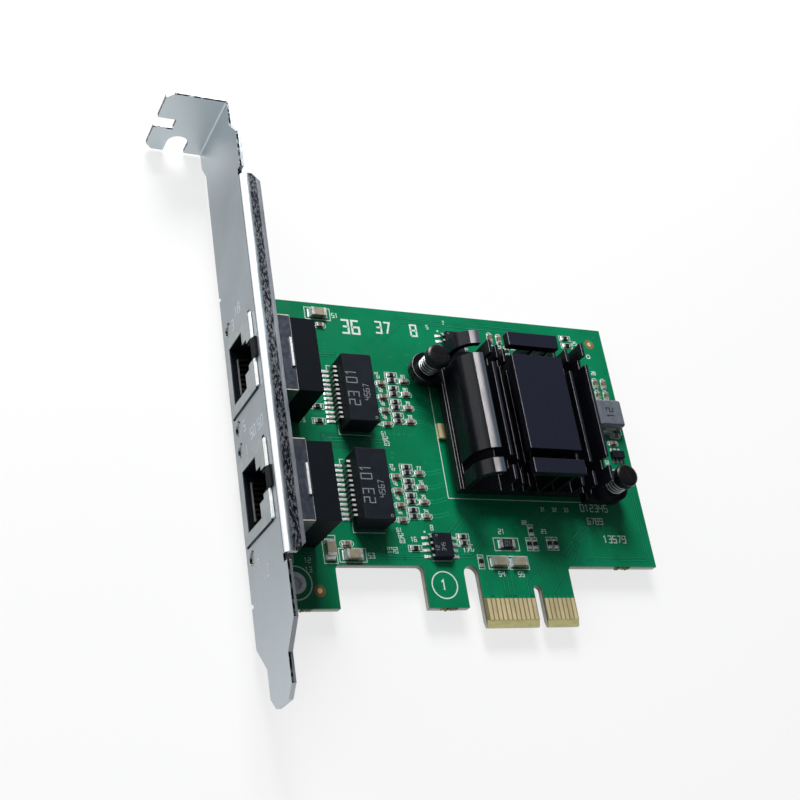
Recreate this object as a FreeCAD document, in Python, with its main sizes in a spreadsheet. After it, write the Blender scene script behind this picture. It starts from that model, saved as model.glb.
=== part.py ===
"""Dual-port network interface card on a PCI Express x1 board, with its full-height bracket.

Frame: x = 0 is the outer face of the bracket, y = 0 the bottom edge of the edge fingers and z = 0
the component face of the circuit board. +X runs along the card away from the bracket, +Y from the
edge fingers up to the bracket's tab, +Z away from the board's component face. Millimetres.
"""
import FreeCAD
import Part
import Sketcher
import math
import os
import re

SIZES = {
    # circuit board
    "board_thickness": 1.57, "board_left": 3.2, "board_right": 88.75, "board_top": 68.3,
    "board_bottom": 12.2, "board_corner": 1.0,
    "foot_right": 16.55, "foot_bottom": 3.8, "tongue_left": 34.7, "tongue_right": 43.2,
    "key_centre": 59.05, "key_width": 1.9, "key_depth": 8.25, "fingers_left": 46.45,
    "fingers_right": 67.1, "finger_bevel": 1.3, "finger_bevel_depth": 0.45,
    "pad_pitch": 1.0, "pad_width": 0.7, "pad_top": 5.6, "plating": 0.04,
    "pads_left": 11, "pads_right": 7, "first_pad_gap": 1.5,
    "insert_radius": 2.1, "insert_bore": 1.27, "insert_proud": 0.1, "insert_x": 8.3,
    "insert_low": 8.7, "insert_high": 63.2, "insert_gap": 0.02,
    # bracket
    "sheet": 0.86, "bracket_edge": -1.07, "bracket_width": 18.42, "seat_height": 103.9,
    "bracket_length": 120.02, "shoulder_low": -3.2, "shoulder_drop": 4.7, "tongue_width": 10.19,
    "tip_chamfer": 2.2, "neck_drop_low": 6.9, "neck_drop_high": 3.5, "far_neck_drop_low": 9.1,
    "far_neck_drop_high": 5.7, "tab_edge": -3.15, "tab_width": 17.6, "tab_depth": 11.9,
    "tab_corner": 1.3, "screw_slot_width": 4.42, "screw_slot_centre": 5.85, "screw_slot_depth": 5.1,
    "locating_notch_width": 3.18, "locating_notch_depth": 3.9, "locating_notch_offset": 6.9,
    "flange_depth": 3.8, "flange_low": 8.1, "flange_drop": 18.8, "flange_corner": 1.6,
    "relief_width": 1.5, "relief_depth": 1.4, "bend_radius": 1.1,
    "ear_width": 7.4, "ear_length": 12.4, "ear_joggle_start": 1.25, "ear_joggle_end": 2.9,
    "ear_joggle_shift": 0.2, "nick_width": 0.9, "nick_depth": 0.9, "screw_radius": 1.25,
    "screw_head_radius": 2.3, "screw_head_height": 1.4, "screw_end": 0.5, "driver_slot": 0.6,
    # jacks and lamps
    "jack_centre_low": 23.15, "jack_pitch": 25.45, "jack_count": 2, "jack_width": 15.9,
    "jack_height": 13.4, "shield_sheet": 0.25, "shield_depth": 8.3, "jack_front": -0.35,
    "housing_rear": 13.1, "jack_gap": 0.05, "cutout_gap": 0.3, "socket_width": 11.8,
    "socket_low": 2.2, "socket_height": 6.9, "socket_depth": 11.2, "latch_width": 6.3,
    "latch_height": 2.1, "latch_key_width": 3.4, "latch_key_height": 1.2, "latch_notch_width": 4.5,
    "latch_notch_depth": 1.3, "wire_pitch": 1.02, "wire_width": 0.46, "wire_thickness": 0.3,
    "wire_rise": 1.7, "wire_start": 1.6, "wire_run": 8.0, "wire_count": 8, "tab_bar_length": 6.0,
    "tab_bar_width": 0.55, "tab_bar_height": 0.35,
    "lamp_offset": 10.5, "lamp_height": 1.75, "lamp_radius": 1.3, "lamp_hole_radius": 1.45,
    "lamp_body_width": 2.9, "lamp_body_depth": 3.6, "lamp_body_height": 3.6,
    "lamp_gap": 0.2,
    # line transformers
    "transformer_left": 21.45, "transformer_width": 6.4, "transformer_length": 14.75,
    "transformer_low": 19.1, "transformer_pitch": 20.35, "transformer_base": 0.45,
    "transformer_top": 5.3, "transformer_edge": 0.2, "lead_count": 12, "lead_pitch": 1.0,
    "lead_width": 0.42, "lead_thickness": 0.2, "lead_shoulder": 2.4, "lead_reach": 1.95,
    "lead_foot": 1.2, "lead_first": 1.9,
    # small outline chips
    "chip_width": 3.9, "chip_length": 4.95, "chip_base": 0.15, "chip_top": 1.7, "chip_taper": 0.12,
    "chip_lead_pitch": 1.27, "chip_lead_count": 4, "chip_lead_reach": 1.05, "chip_lead_foot": 0.6,
    "chip_lead_shoulder": 0.95, "chip_lead_width": 0.42, "chip_lead_thickness": 0.18,
    "memory_x": 39.0, "memory_y": 15.85, "regulator_x": 50.0, "regulator_y": 61.15,
    # controller, heat sink and its push pins
    "sink_left": 43.4, "sink_front": 26.4, "sink_size": 31.0, "sink_base_low": 2.0,
    "sink_base_top": 4.2, "sink_top": 13.5, "hood_top": 13.1, "hood_width": 4.6, "hood_wall": 1.3,
    "hood_offset": 0.7, "deck_left": 11.7, "deck_width": 11.7, "deck_thickness": 1.8,
    "fin_thickness": 0.65, "cut_width": 2.1, "cut_offset": 3.0, "cut_floor": 0.8,
    "controller_size": 21.0, "controller_height": 1.3, "thermal_inset": 1.0,
    "pin_reach": 3.9, "pin_setback": 3.2, "pin_shift_x": 1.3, "pin_shift_y": 1.2,
    "low_fin": 9.1, "low_fin_top": 9.9, "rib": 11.8, "rib_top": 8.0, "foot_rib": 14.2,
    "foot_rib_top": 6.7, "leg_first": 17.6, "leg_pitch": 3.7, "leg_count": 2, "right_fin": 25.6,
    "right_fin_top": 8.2, "side_fin": 28.4, "side_fin_top": 8.6, "edge_fin_top": 11.7,
    "edge_notch": 2.2,
    "ear_radius": 3.4, "pin_hole_gap": 0.1, "pin_radius": 1.25, "pin_head_radius": 2.5,
    "pin_head_low": 7.9, "pin_head_top": 9.7, "pin_collar_radius": 2.1, "pin_collar_low": 7.5,
    "pin_barb_radius": 1.5, "pin_barb_length": 1.6, "overcut": 1.0, "spring_gap": 0.02,
    "spring_radius": 1.95, "spring_wire": 0.22, "spring_turns": 4, "bars_per_turn": 10, "wire_sides": 6,
    # inductor and the small passives
    "inductor_x": 84.5, "inductor_y": 46.2, "inductor_size": 6.2, "inductor_height": 3.0,
    "inductor_base": 0.2, "inductor_edge": 0.4, "terminal_width": 2.6, "terminal_wrap": 0.15,
    "large_cap_length": 3.2, "large_cap_width": 1.7, "large_cap_height": 1.2,
    "large_res_length": 3.3, "large_res_width": 1.65, "large_res_height": 0.6,
    "medium_part_length": 1.6, "medium_part_width": 0.8, "small_part_length": 1.5,
    "small_part_width": 0.75, "resistor_height": 0.4, "capacitor_height": 0.55, "end_cap": 0.33,
    "large_end_cap": 0.55, "end_cap_proud": 0.03,
    "array_pitch": 3.03, "array_count": 4, "array_left": 31.9, "array_middle": 34.4,
    "array_right": 37.1, "array_low": 21.35, "array_pair": 1.28, "array_rise": 0.82,
    "crystal_inset": 0.35, "crystal_rise": 14.2, "crystal_length": 3.2, "crystal_width": 2.0,
    "crystal_height": 0.8, "transistor_x": 85.35, "transistor_y": 37.3, "transistor_length": 2.9,
    "transistor_width": 1.6, "transistor_height": 1.1, "transistor_pitch": 0.95,
    "transistor_lead_length": 0.7, "transistor_lead_width": 0.35,
}

# Chip parts outside the regular arrays: name, kind, size, centre x, centre y, and the way the part lies.
LOOSE_PARTS = [
    ("bulk_top", "large_capacitor", "large", 20.1, 65.8, "x"),
    ("bulk_foot", "large_capacitor", "large", 15.9, 15.2, "y"),
    ("bulk_jack", "large_capacitor", "large", 20.4, 14.1, "x"),
    ("bulk_finger", "large_capacitor", "large", 51.3, 12.9, "x"),
    ("bulk_key", "large_capacitor", "large", 55.7, 12.85, "x"),
    ("sense", "sense_resistor", "sense", 53.85, 16.7, "x"),
    ("filter_jack", "capacitor", "medium", 19.45, 16.35, "x"),
    ("filter_top", "capacitor", "small", 20.2, 63.1, "x"),
    ("pull_high", "resistor", "medium", 17.3, 44.75, "x"),
    ("pull_low", "resistor", "medium", 17.3, 41.6, "x"),
    ("memory_left", "resistor", "medium", 33.6, 15.6, "x"),
    ("memory_right_high", "resistor", "small", 44.3, 18.15, "x"),
    ("memory_right_low", "resistor", "small", 44.3, 16.8, "x"),
    ("finger_left", "resistor", "medium", 47.4, 13.0, "y"),
    ("lane_high", "resistor", "small", 60.1, 19.6, "y"),
    ("lane_first", "resistor", "small", 59.1, 16.8, "y"),
    ("lane_second", "resistor", "small", 60.5, 16.8, "y"),
    ("lane_third", "resistor", "small", 63.9, 17.0, "y"),
    ("lane_fourth", "resistor", "small", 65.3, 17.0, "y"),
    ("supply_left", "capacitor", "medium", 59.6, 63.7, "y"),
    ("supply_right", "capacitor", "medium", 61.8, 63.5, "y"),
    ("divider_left", "resistor", "small", 59.6, 60.6, "y"),
    ("divider_middle", "resistor", "small", 61.4, 60.6, "y"),
    ("divider_right", "resistor", "small", 63.2, 60.6, "y"),
    ("corner_high", "resistor", "medium", 78.95, 65.4, "x"),
    ("corner_low", "resistor", "medium", 79.1, 63.6, "x"),
    ("output_left", "capacitor", "medium", 84.3, 54.5, "y"),
    ("output_right", "capacitor", "medium", 86.4, 54.5, "y"),
    ("output_small_left", "capacitor", "small", 84.3, 51.6, "y"),
    ("output_small_right", "capacitor", "small", 86.4, 51.6, "y"),
    ("input_high", "capacitor", "medium", 86.3, 42.0, "x"),
    ("input_low", "capacitor", "small", 85.2, 40.2, "x"),
    ("input_edge", "capacitor", "medium", 84.6, 33.4, "x"),
]
for name, _, _, centre_x, centre_y, _ in LOOSE_PARTS:
    SIZES[name + "_x"] = centre_x
    SIZES[name + "_y"] = centre_y

doc = FreeCAD.newDocument("network_card")
sheet = doc.addObject("Spreadsheet::Sheet", "sizes")
for row, (alias, number) in enumerate(SIZES.items(), start=1):
    sheet.set("A%d" % row, alias)
    sheet.set("B%d" % row, str(number))
    sheet.setAlias("B%d" % row, alias)
doc.recompute()

ALIAS = re.compile(r"\b[a-z_]+\b")
NODES = []


def linked(text):
    """The expression with every size's name pointing at its cell."""
    return ALIAS.sub(lambda m: "sizes." + m.group(0) if m.group(0) in SIZES else m.group(0), str(text))


def value(text):
    """The number that an expression in the sheet's names gives now."""
    names = {alias: float(sheet.get(alias)) for alias in SIZES if alias in str(text)}
    total = FreeCAD.Units.parseQuantity(ALIAS.sub(lambda m: "(%r)" % names[m.group(0)], str(text)))
    return float(total.Value)


def keep(shape_object, node):
    """Marks an object as the finished piece of that name."""
    shape_object.Label = node
    NODES.append(shape_object)
    return shape_object


def set_place(target, x, y, z, rotation=None):
    if rotation is not None:
        target.Placement = FreeCAD.Placement(FreeCAD.Vector(0, 0, 0), rotation)
    for axis, text in (("x", x), ("y", y), ("z", z)):
        target.setExpression("Placement.Base." + axis, linked(text))


def box(name, low, size):
    """A block from its low corner and its three lengths."""
    made = doc.addObject("Part::Box", name)
    for prop, text in zip(("Length", "Width", "Height"), size):
        made.setExpression(prop, linked(text))
    set_place(made, *low)
    return made


def rod(name, low, radius, length, direction=(0, 0, 1)):
    """A round bar from the centre of its first end along a direction."""
    made = doc.addObject("Part::Cylinder", name)
    made.setExpression("Radius", linked(radius))
    made.setExpression("Height", linked(length))
    set_place(made, *low, rotation=FreeCAD.Rotation(FreeCAD.Vector(0, 0, 1), FreeCAD.Vector(*direction)))
    return made


def cone(name, low, first_radius, second_radius, length, direction=(0, 0, 1)):
    made = doc.addObject("Part::Cone", name)
    made.setExpression("Radius1", linked(first_radius))
    made.setExpression("Radius2", linked(second_radius))
    made.setExpression("Height", linked(length))
    set_place(made, *low, rotation=FreeCAD.Rotation(FreeCAD.Vector(0, 0, 1), FreeCAD.Vector(*direction)))
    return made


def fuse(name, pieces):
    made = doc.addObject("Part::MultiFuse", name)
    made.Shapes = pieces
    made.Refine = True
    return made


def cut(name, base, tools):
    made = doc.addObject("Part::Cut", name)
    made.Base = base
    made.Tool = tools[0] if len(tools) == 1 else fuse(name + "_tools", tools)
    made.Refine = True
    return made


def group(name, pieces):
    made = doc.addObject("Part::Compound", name)
    made.Links = pieces
    return made


def origin_plane(body, role):
    return [feature for feature in body.Origin.OriginFeatures if feature.Role == role][0]


def outline(body, name, role, offset, points):
    """A closed sketch of straight edges, with both coordinates of each corner bound to the sheet."""
    sketch = body.newObject("Sketcher::SketchObject", name)
    sketch.AttachmentSupport = [(origin_plane(body, role), "")]
    sketch.MapMode = "FlatFace"
    if offset is not None:
        sketch.setExpression("AttachmentOffset.Base.z", linked(offset))
    corners = [FreeCAD.Vector(value(first), value(second), 0) for first, second in points]
    for index, corner in enumerate(corners):
        sketch.addGeometry(Part.LineSegment(corner, corners[(index + 1) % len(corners)]), False)
    for index in range(len(corners)):
        sketch.addConstraint(Sketcher.Constraint("Coincident", index, 2, (index + 1) % len(corners), 1))
    for index, texts in enumerate(points):
        place = (corners[index].x, corners[index].y)
        for kind, text, number in zip(("DistanceX", "DistanceY"), texts, place):
            row = sketch.addConstraint(Sketcher.Constraint(kind, index, 1, number))
            sketch.setExpression("Constraints[%d]" % row, linked(text))
    return sketch


def circles(body, name, role, offset, centres, radius):
    sketch = body.newObject("Sketcher::SketchObject", name)
    sketch.AttachmentSupport = [(origin_plane(body, role), "")]
    sketch.MapMode = "FlatFace"
    if offset is not None:
        sketch.setExpression("AttachmentOffset.Base.z", linked(offset))
    for index, (first, second) in enumerate(centres):
        centre = FreeCAD.Vector(value(first), value(second), 0)
        sketch.addGeometry(Part.Circle(centre, FreeCAD.Vector(0, 0, 1), value(radius)), False)
        for kind, text, number in (("DistanceX", first, centre.x), ("DistanceY", second, centre.y)):
            row = sketch.addConstraint(Sketcher.Constraint(kind, index, 3, number))
            sketch.setExpression("Constraints[%d]" % row, linked(text))
        row = sketch.addConstraint(Sketcher.Constraint("Radius", index, value(radius)))
        sketch.setExpression("Constraints[%d]" % row, linked(radius))
    return sketch


def pad(body, sketch, length, backwards=False):
    made = body.newObject("PartDesign::Pad", sketch.Name + "_pad")
    made.Profile = sketch
    made.setExpression("Length", linked(length))
    made.Reversed = backwards
    doc.recompute()
    return made


def pocket(body, sketch, length, both_ways=True):
    """A cut through the sketch's plane; it stops the build if it removes nothing."""
    before = body.Shape.Volume
    made = body.newObject("PartDesign::Pocket", sketch.Name + "_pocket")
    made.Profile = sketch
    made.setExpression("Length", linked(length))
    made.Midplane = both_ways
    doc.recompute()
    if not before - body.Shape.Volume > 1e-6:
        raise ValueError("%s cuts nothing" % sketch.Name)
    return made


def ease_edges(body, name, size, wanted, kind="Fillet"):
    """A fillet or chamfer on the edges whose midpoint and direction the test accepts."""
    base = body.Tip
    shape = base.Shape
    names = []
    for index, edge in enumerate(shape.Edges, start=1):
        if not isinstance(edge.Curve, Part.Line):
            continue
        middle = edge.valueAt((edge.FirstParameter + edge.LastParameter) / 2)
        if wanted(middle, edge.tangentAt(edge.FirstParameter)):
            names.append("Edge%d" % index)
    if not names:
        raise ValueError("%s finds no edge" % name)
    made = body.newObject("PartDesign::" + kind, name)
    made.Base = (base, names)
    made.setExpression("Radius" if kind == "Fillet" else "Size", linked(size))
    doc.recompute()
    return made


def near(first, second):
    return abs(first - second) < 1e-4


def new_body(name):
    return doc.addObject("PartDesign::Body", name)


def strip(name, points, low, length):
    """A profile drawn in the XZ plane, drawn out along +Y from a start place."""
    sketch = doc.addObject("Sketcher::SketchObject", name + "_profile")
    sketch.Placement = FreeCAD.Placement(
        FreeCAD.Vector(0, 0, 0), FreeCAD.Rotation(FreeCAD.Vector(1, 0, 0), 90))
    sketch.setExpression("Placement.Base.y", linked(low))
    corners = [FreeCAD.Vector(value(first), value(second), 0) for first, second in points]
    for index, corner in enumerate(corners):
        sketch.addGeometry(Part.LineSegment(corner, corners[(index + 1) % len(corners)]), False)
    for index in range(len(corners)):
        sketch.addConstraint(Sketcher.Constraint("Coincident", index, 2, (index + 1) % len(corners), 1))
    for index, texts in enumerate(points):
        place = (corners[index].x, corners[index].y)
        for kind, text, number in zip(("DistanceX", "DistanceY"), texts, place):
            row = sketch.addConstraint(Sketcher.Constraint(kind, index, 1, number))
            sketch.setExpression("Constraints[%d]" % row, linked(text))
    made = doc.addObject("Part::Extrusion", name)
    made.Base = sketch
    made.DirMode = "Normal"
    made.setExpression("LengthFwd", linked(length))
    made.Reversed = True
    made.Solid = True
    return made


def comb(name, whole, count, low, pitch, width, corner, size):
    """The strip parted into a row of like pieces by taking out the gaps between them."""
    gaps = []
    for index in range(count - 1):
        start = "%s + %d * %s + %s" % (low, index, pitch, width)
        gaps.append(box("%s_gap_%d" % (name, index), (corner[0], start, corner[1]),
                        (size[0], "%s - %s" % (pitch, width), size[1])))
    return cut(name, whole, gaps)


def solid_block(name, low, size, bevel):
    """A moulded block with bevelled top and upright edges."""
    body = new_body(name)
    high = ["%s + %s" % (low[0], size[0]), "%s + %s" % (low[1], size[1])]
    sketch = outline(body, name + "_outline", "XY_Plane", low[2],
                     [(low[0], low[1]), (high[0], low[1]), (high[0], high[1]), (low[0], high[1])])
    pad(body, sketch, size[2])
    top = value("%s + %s" % (low[2], size[2]))
    ease_edges(body, name + "_edges", bevel, lambda middle, along:
               near(middle.z, top) or near(abs(along.z), 1), "Chamfer")
    return body


def gull_wings(name, face, side, low, count, pitch, width, kind):
    """A row of bent leads from a body's side face down to flat feet on the board."""
    sign = "+" if side > 0 else "-"
    reach, foot, shoulder, thick = [kind + part for part in ("_reach", "_foot", "_shoulder", "_thickness")]
    knee = "%s %s (%s - %s)" % (face, sign, reach, foot)
    toe = "%s %s %s" % (face, sign, reach)
    heel = "%s %s (%s - %s - %s)" % (face, sign, reach, foot, thick)
    points = [(face, shoulder), (knee, shoulder), (knee, thick), (toe, thick), (toe, "0"), (heel, "0"),
              (heel, "%s - %s" % (shoulder, thick)), (face, "%s - %s" % (shoulder, thick))]
    length = "%d * %s + %s" % (count - 1, pitch, width)
    whole = strip(name + "_strip", points, low, length)
    corner = ("%s - %s" % (face if side > 0 else toe, thick), "0 - " + thick)
    size = ("%s + 2 * %s" % (reach, thick), "%s + 2 * %s" % (shoulder, thick))
    return comb(name, whole, count, low, pitch, width, corner, size)


# --- bracket ---------------------------------------------------------------------------------
FAR = "bracket_edge + bracket_width"
FLANGE_TOP = "(seat_height - flange_drop)"
MIDDLE = "bracket_edge + bracket_width / 2"
TIP = "seat_height + sheet - bracket_length"
EARS = ("insert_low", "insert_high")


def jack_centre(index):
    return "jack_centre_low + %d * jack_pitch" % index


LAMPS = []
for jack_index in range(int(SIZES["jack_count"])):
    LAMPS.append(jack_centre(jack_index) + " - lamp_offset")
    LAMPS.append(jack_centre(jack_index) + " + lamp_offset")


def make_bracket():
    """One sheet of steel: the face, the tab that the case screw holds, a stiffening flange, two ears."""
    body = new_body("bracket")
    shoulder_end = "shoulder_low - shoulder_drop"
    tongue = ("%s - tongue_width / 2" % MIDDLE, "%s + tongue_width / 2" % MIDDLE)
    face = outline(body, "face", "YZ_Plane", None, [
        ("seat_height + sheet", "tab_edge"), ("seat_height - neck_drop_high", "tab_edge"),
        ("seat_height - neck_drop_low", "bracket_edge"),
        ("shoulder_low", "bracket_edge"), (shoulder_end, tongue[0]), (TIP + " + tip_chamfer", tongue[0]),
        (TIP, tongue[0] + " + tip_chamfer"), (TIP, tongue[1] + " - tip_chamfer"),
        (TIP + " + tip_chamfer", tongue[1]), (shoulder_end, tongue[1]), ("shoulder_low", FAR),
        ("seat_height - far_neck_drop_low", FAR),
        ("seat_height - far_neck_drop_high", "tab_edge + tab_width"),
        ("seat_height + sheet", "tab_edge + tab_width")])
    pad(body, face, "sheet")

    notch = ["tab_edge + locating_notch_offset", "tab_edge + locating_notch_offset + locating_notch_width"]
    notch_floor = "0 - tab_depth + locating_notch_depth"
    outer = "0 - tab_depth"
    inset = "0 - tab_depth + tab_corner"
    tab = outline(body, "tab", "XZ_Plane", "0 - seat_height", [
        ("sheet", "tab_edge"), (inset, "tab_edge"), (outer, "tab_edge + tab_corner"), (outer, notch[0]),
        (notch_floor, notch[0]), (notch_floor, notch[1]),
        (outer, notch[1]), (outer, "tab_edge + tab_width - tab_corner"), (inset, "tab_edge + tab_width"),
        ("sheet", "tab_edge + tab_width")])
    pad(body, tab, "sheet", backwards=True)
    slot_sides = ["0 - screw_slot_centre %s screw_slot_width / 2" % sign for sign in "-+"]
    slot_end = "tab_edge + screw_slot_depth - screw_slot_width / 2"
    slot = outline(body, "screw_slot", "XZ_Plane", "0 - seat_height", [
        (slot_sides[0], "tab_edge - sheet"), (slot_sides[1], "tab_edge - sheet"), (slot_sides[1], slot_end),
        (slot_sides[0], slot_end)])
    pocket(body, slot, "4 * sheet")
    slot_round = circles(body, "screw_slot_end", "XZ_Plane", "0 - seat_height",
                         [("0 - screw_slot_centre", slot_end)], "screw_slot_width / 2")
    pocket(body, slot_round, "4 * sheet")

    edge = "flange_depth - flange_corner"
    flange = outline(body, "flange", "XY_Plane", FAR + " - sheet", [
        ("0", "flange_low"), (edge, "flange_low"), ("flange_depth", "flange_low + flange_corner"),
        ("flange_depth", FLANGE_TOP + " - flange_corner"), (edge, FLANGE_TOP), ("0", FLANGE_TOP)])
    pad(body, flange, "sheet")
    for name, low, high in (("relief_low", "flange_low - relief_width", "flange_low"),
                            ("relief_high", FLANGE_TOP, FLANGE_TOP + " + relief_width")):
        relief = outline(body, name, "YZ_Plane", None, [
            (low, FAR + " - relief_depth"), (high, FAR + " - relief_depth"), (high, FAR + " + sheet"),
            (low, FAR + " + sheet")])
        pocket(body, relief, "4 * sheet")
    for index in range(int(SIZES["jack_count"])):
        half = "jack_width / 2 + cutout_gap"
        low, high = "%s - (%s)" % (jack_centre(index), half), "%s + (%s)" % (jack_centre(index), half)
        window = outline(body, "window_%d" % (index + 1), "YZ_Plane", None, [
            (low, "0 - cutout_gap / 2"), (high, "0 - cutout_gap / 2"), (high, "jack_height + cutout_gap"),
            (low, "jack_height + cutout_gap")])
        pocket(body, window, "4 * sheet")
    holes = circles(body, "lamp_holes", "YZ_Plane", None, [(place, "lamp_height") for place in LAMPS],
                    "lamp_hole_radius")
    pocket(body, holes, "4 * sheet")
    top = "0 - board_thickness"
    for index, ear in enumerate(EARS):
        profile = outline(body, "ear_%d" % (index + 1), "XZ_Plane", "0 - (%s - ear_width / 2)" % ear, [
            ("sheet / 2", "bracket_edge"), ("ear_joggle_start", "bracket_edge"),
            ("ear_joggle_end", top + " - sheet"), ("ear_length", top + " - sheet"), ("ear_length", top),
            ("ear_joggle_end + ear_joggle_shift", top),
            ("ear_joggle_start + ear_joggle_shift", "bracket_edge + sheet"),
            ("sheet / 2", "bracket_edge + sheet")])
        pad(body, profile, "ear_width", backwards=True)
    for index, low in enumerate(("insert_low - ear_width / 2 - nick_width", "insert_high + ear_width / 2")):
        nick = outline(body, "nick_%d" % (index + 1), "YZ_Plane", None, [
            (low, "bracket_edge - sheet"), (low + " + nick_width", "bracket_edge - sheet"),
            (low + " + nick_width", "bracket_edge + nick_depth"), (low, "bracket_edge + nick_depth")])
        pocket(body, nick, "4 * sheet")
    bores = circles(body, "ear_bores", "XY_Plane", top, [("insert_x", ear) for ear in EARS],
                    "screw_radius + insert_gap")
    pocket(body, bores, "4 * sheet")
    far, seat, high = value(FAR), value("seat_height"), value("seat_height + sheet")
    ease_edges(body, "flange_bend", "bend_radius", lambda middle, along:
                near(middle.x, 0) and near(middle.z, far) and near(abs(along.y), 1)
                and value("flange_low") < middle.y < value(FLANGE_TOP))
    ease_edges(body, "tab_bend", "bend_radius", lambda middle, along:
                near(middle.x, value("sheet")) and near(middle.y, high))
    ease_edges(body, "tab_root", "bend_radius / 3", lambda middle, along:
                near(middle.x, 0) and near(middle.y, seat) and near(abs(along.z), 1))
    return keep(body, "bracket")


# --- circuit board ---------------------------------------------------------------------------
SINK_CENTRE = ("sink_left + sink_size / 2", "sink_front + sink_size / 2")
PIN_MIDDLE = (SINK_CENTRE[0] + " + pin_shift_x", SINK_CENTRE[1] + " - pin_shift_y")
PIN_OFFSET = ("(sink_size / 2 + pin_reach)", "(sink_size / 2 - pin_setback)")
PINS = [(PIN_MIDDLE[0] + " - " + PIN_OFFSET[0], PIN_MIDDLE[1] + " + " + PIN_OFFSET[1]),
        (PIN_MIDDLE[0] + " + " + PIN_OFFSET[0], PIN_MIDDLE[1] + " - " + PIN_OFFSET[1])]


def make_board():
    """The glass-epoxy board: a foot by the bracket, a middle tongue and the keyed edge fingers."""
    body = new_body("circuit_board")
    key = ["key_centre - key_width / 2", "key_centre + key_width / 2"]
    sketch = outline(body, "board_outline", "XY_Plane", None, [
        ("board_left", "foot_bottom"), ("foot_right", "foot_bottom"), ("foot_right", "board_bottom"),
        ("tongue_left", "board_bottom"), ("tongue_left", "foot_bottom"), ("tongue_right", "foot_bottom"),
        ("tongue_right", "board_bottom"), ("fingers_left", "board_bottom"), ("fingers_left", "0"),
        (key[0], "0"), (key[0], "key_depth"), (key[1], "key_depth"), (key[1], "0"), ("fingers_right", "0"),
        ("fingers_right", "board_bottom"), ("board_right", "board_bottom"), ("board_right", "board_top"),
        ("board_left", "board_top")])
    pad(body, sketch, "board_thickness", backwards=True)
    upright = value("board_bottom")
    slot = (value("tongue_right"), value("fingers_left"))
    ease_edges(body, "key_round", "key_width / 2 * 0.98", lambda middle, along:
                near(abs(along.z), 1) and near(middle.y, value("key_depth")))
    ease_edges(body, "slot_round", "(fingers_left - tongue_right) / 2 * 0.98", lambda middle, along:
                near(abs(along.z), 1) and near(middle.y, upright) and any(near(middle.x, s) for s in slot))
    ease_edges(body, "inner_corners", "board_corner", lambda middle, along:
                near(abs(along.z), 1) and near(middle.y, upright)
                and middle.x < value("fingers_right + board_corner"))
    bottom = "0 - board_thickness"
    middle_x = "(fingers_left + fingers_right) / 2"
    for name, outer, inner in (("bevel_top", "0", "0 - finger_bevel_depth"),
                               ("bevel_bottom", bottom, bottom + " + finger_bevel_depth")):
        wedge = outline(body, name, "YZ_Plane", middle_x,
                        [("0", outer), ("finger_bevel", outer), ("0", inner)])
        pocket(body, wedge, "fingers_right - fingers_left + key_width")
    pocket(body, circles(body, "insert_holes", "XY_Plane", None, [("insert_x", ear) for ear in EARS],
                         "insert_radius + insert_gap"), "4 * board_thickness")
    pocket(body, circles(body, "pin_holes", "XY_Plane", None, PINS, "pin_radius + pin_hole_gap"),
           "4 * board_thickness")
    return keep(body, "circuit_board")


def make_edge_contacts():
    """Gold-plated contact pads on both faces of the edge fingers."""
    pads = []
    starts = ["key_centre - first_pad_gap - %d * pad_pitch - pad_width / 2" % index
              for index in range(int(SIZES["pads_left"]))]
    starts += ["key_centre + first_pad_gap + %d * pad_pitch - pad_width / 2" % index
               for index in range(int(SIZES["pads_right"]))]
    for index, start in enumerate(starts):
        for face, low in (("front", "0"), ("back", "0 - board_thickness - plating")):
            pads.append(box("pad_%s_%d" % (face, index), (start, "finger_bevel", low),
                            ("pad_width", "pad_top - finger_bevel", "plating")))
    return keep(group("edge_contacts", pads), "edge_contacts")


def make_fixings():
    """Threaded inserts pressed into the board, and the screws that hold the bracket's ears to them."""
    inserts, screws = [], []
    head_low = "0 - board_thickness - sheet - screw_head_height"
    for index, ear in enumerate(EARS):
        length = "board_thickness + insert_proud"
        sleeve = rod("sleeve_%d" % index, ("insert_x", ear, "0 - board_thickness"), "insert_radius", length)
        bore = rod("bore_%d" % index, ("insert_x", ear, "0 - 2 * board_thickness"), "insert_bore",
                   "4 * board_thickness")
        inserts.append(cut("insert_%d" % index, sleeve, [bore]))
        head = rod("head_%d" % index, ("insert_x", ear, head_low), "screw_head_radius", "screw_head_height")
        shank = rod("shank_%d" % index, ("insert_x", ear, head_low), "screw_radius",
                    "screw_head_height + sheet + board_thickness - screw_end")
        slots = [box("cross_%s_%d" % (axis, index),
                     ("insert_x - (%s) / 2" % size[0], "%s - (%s) / 2" % (ear, size[1]), head_low),
                     size + ("screw_head_height / 2",))
                 for axis, size in (("x", ("1.2 * screw_head_radius", "driver_slot")),
                                    ("y", ("driver_slot", "1.2 * screw_head_radius")))]
        screws.append(cut("screw_%d" % index, fuse("screw_blank_%d" % index, [head, shank]), slots))
    keep(group("board_inserts", inserts), "board_inserts")
    keep(group("bracket_screws", screws), "bracket_screws")


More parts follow.
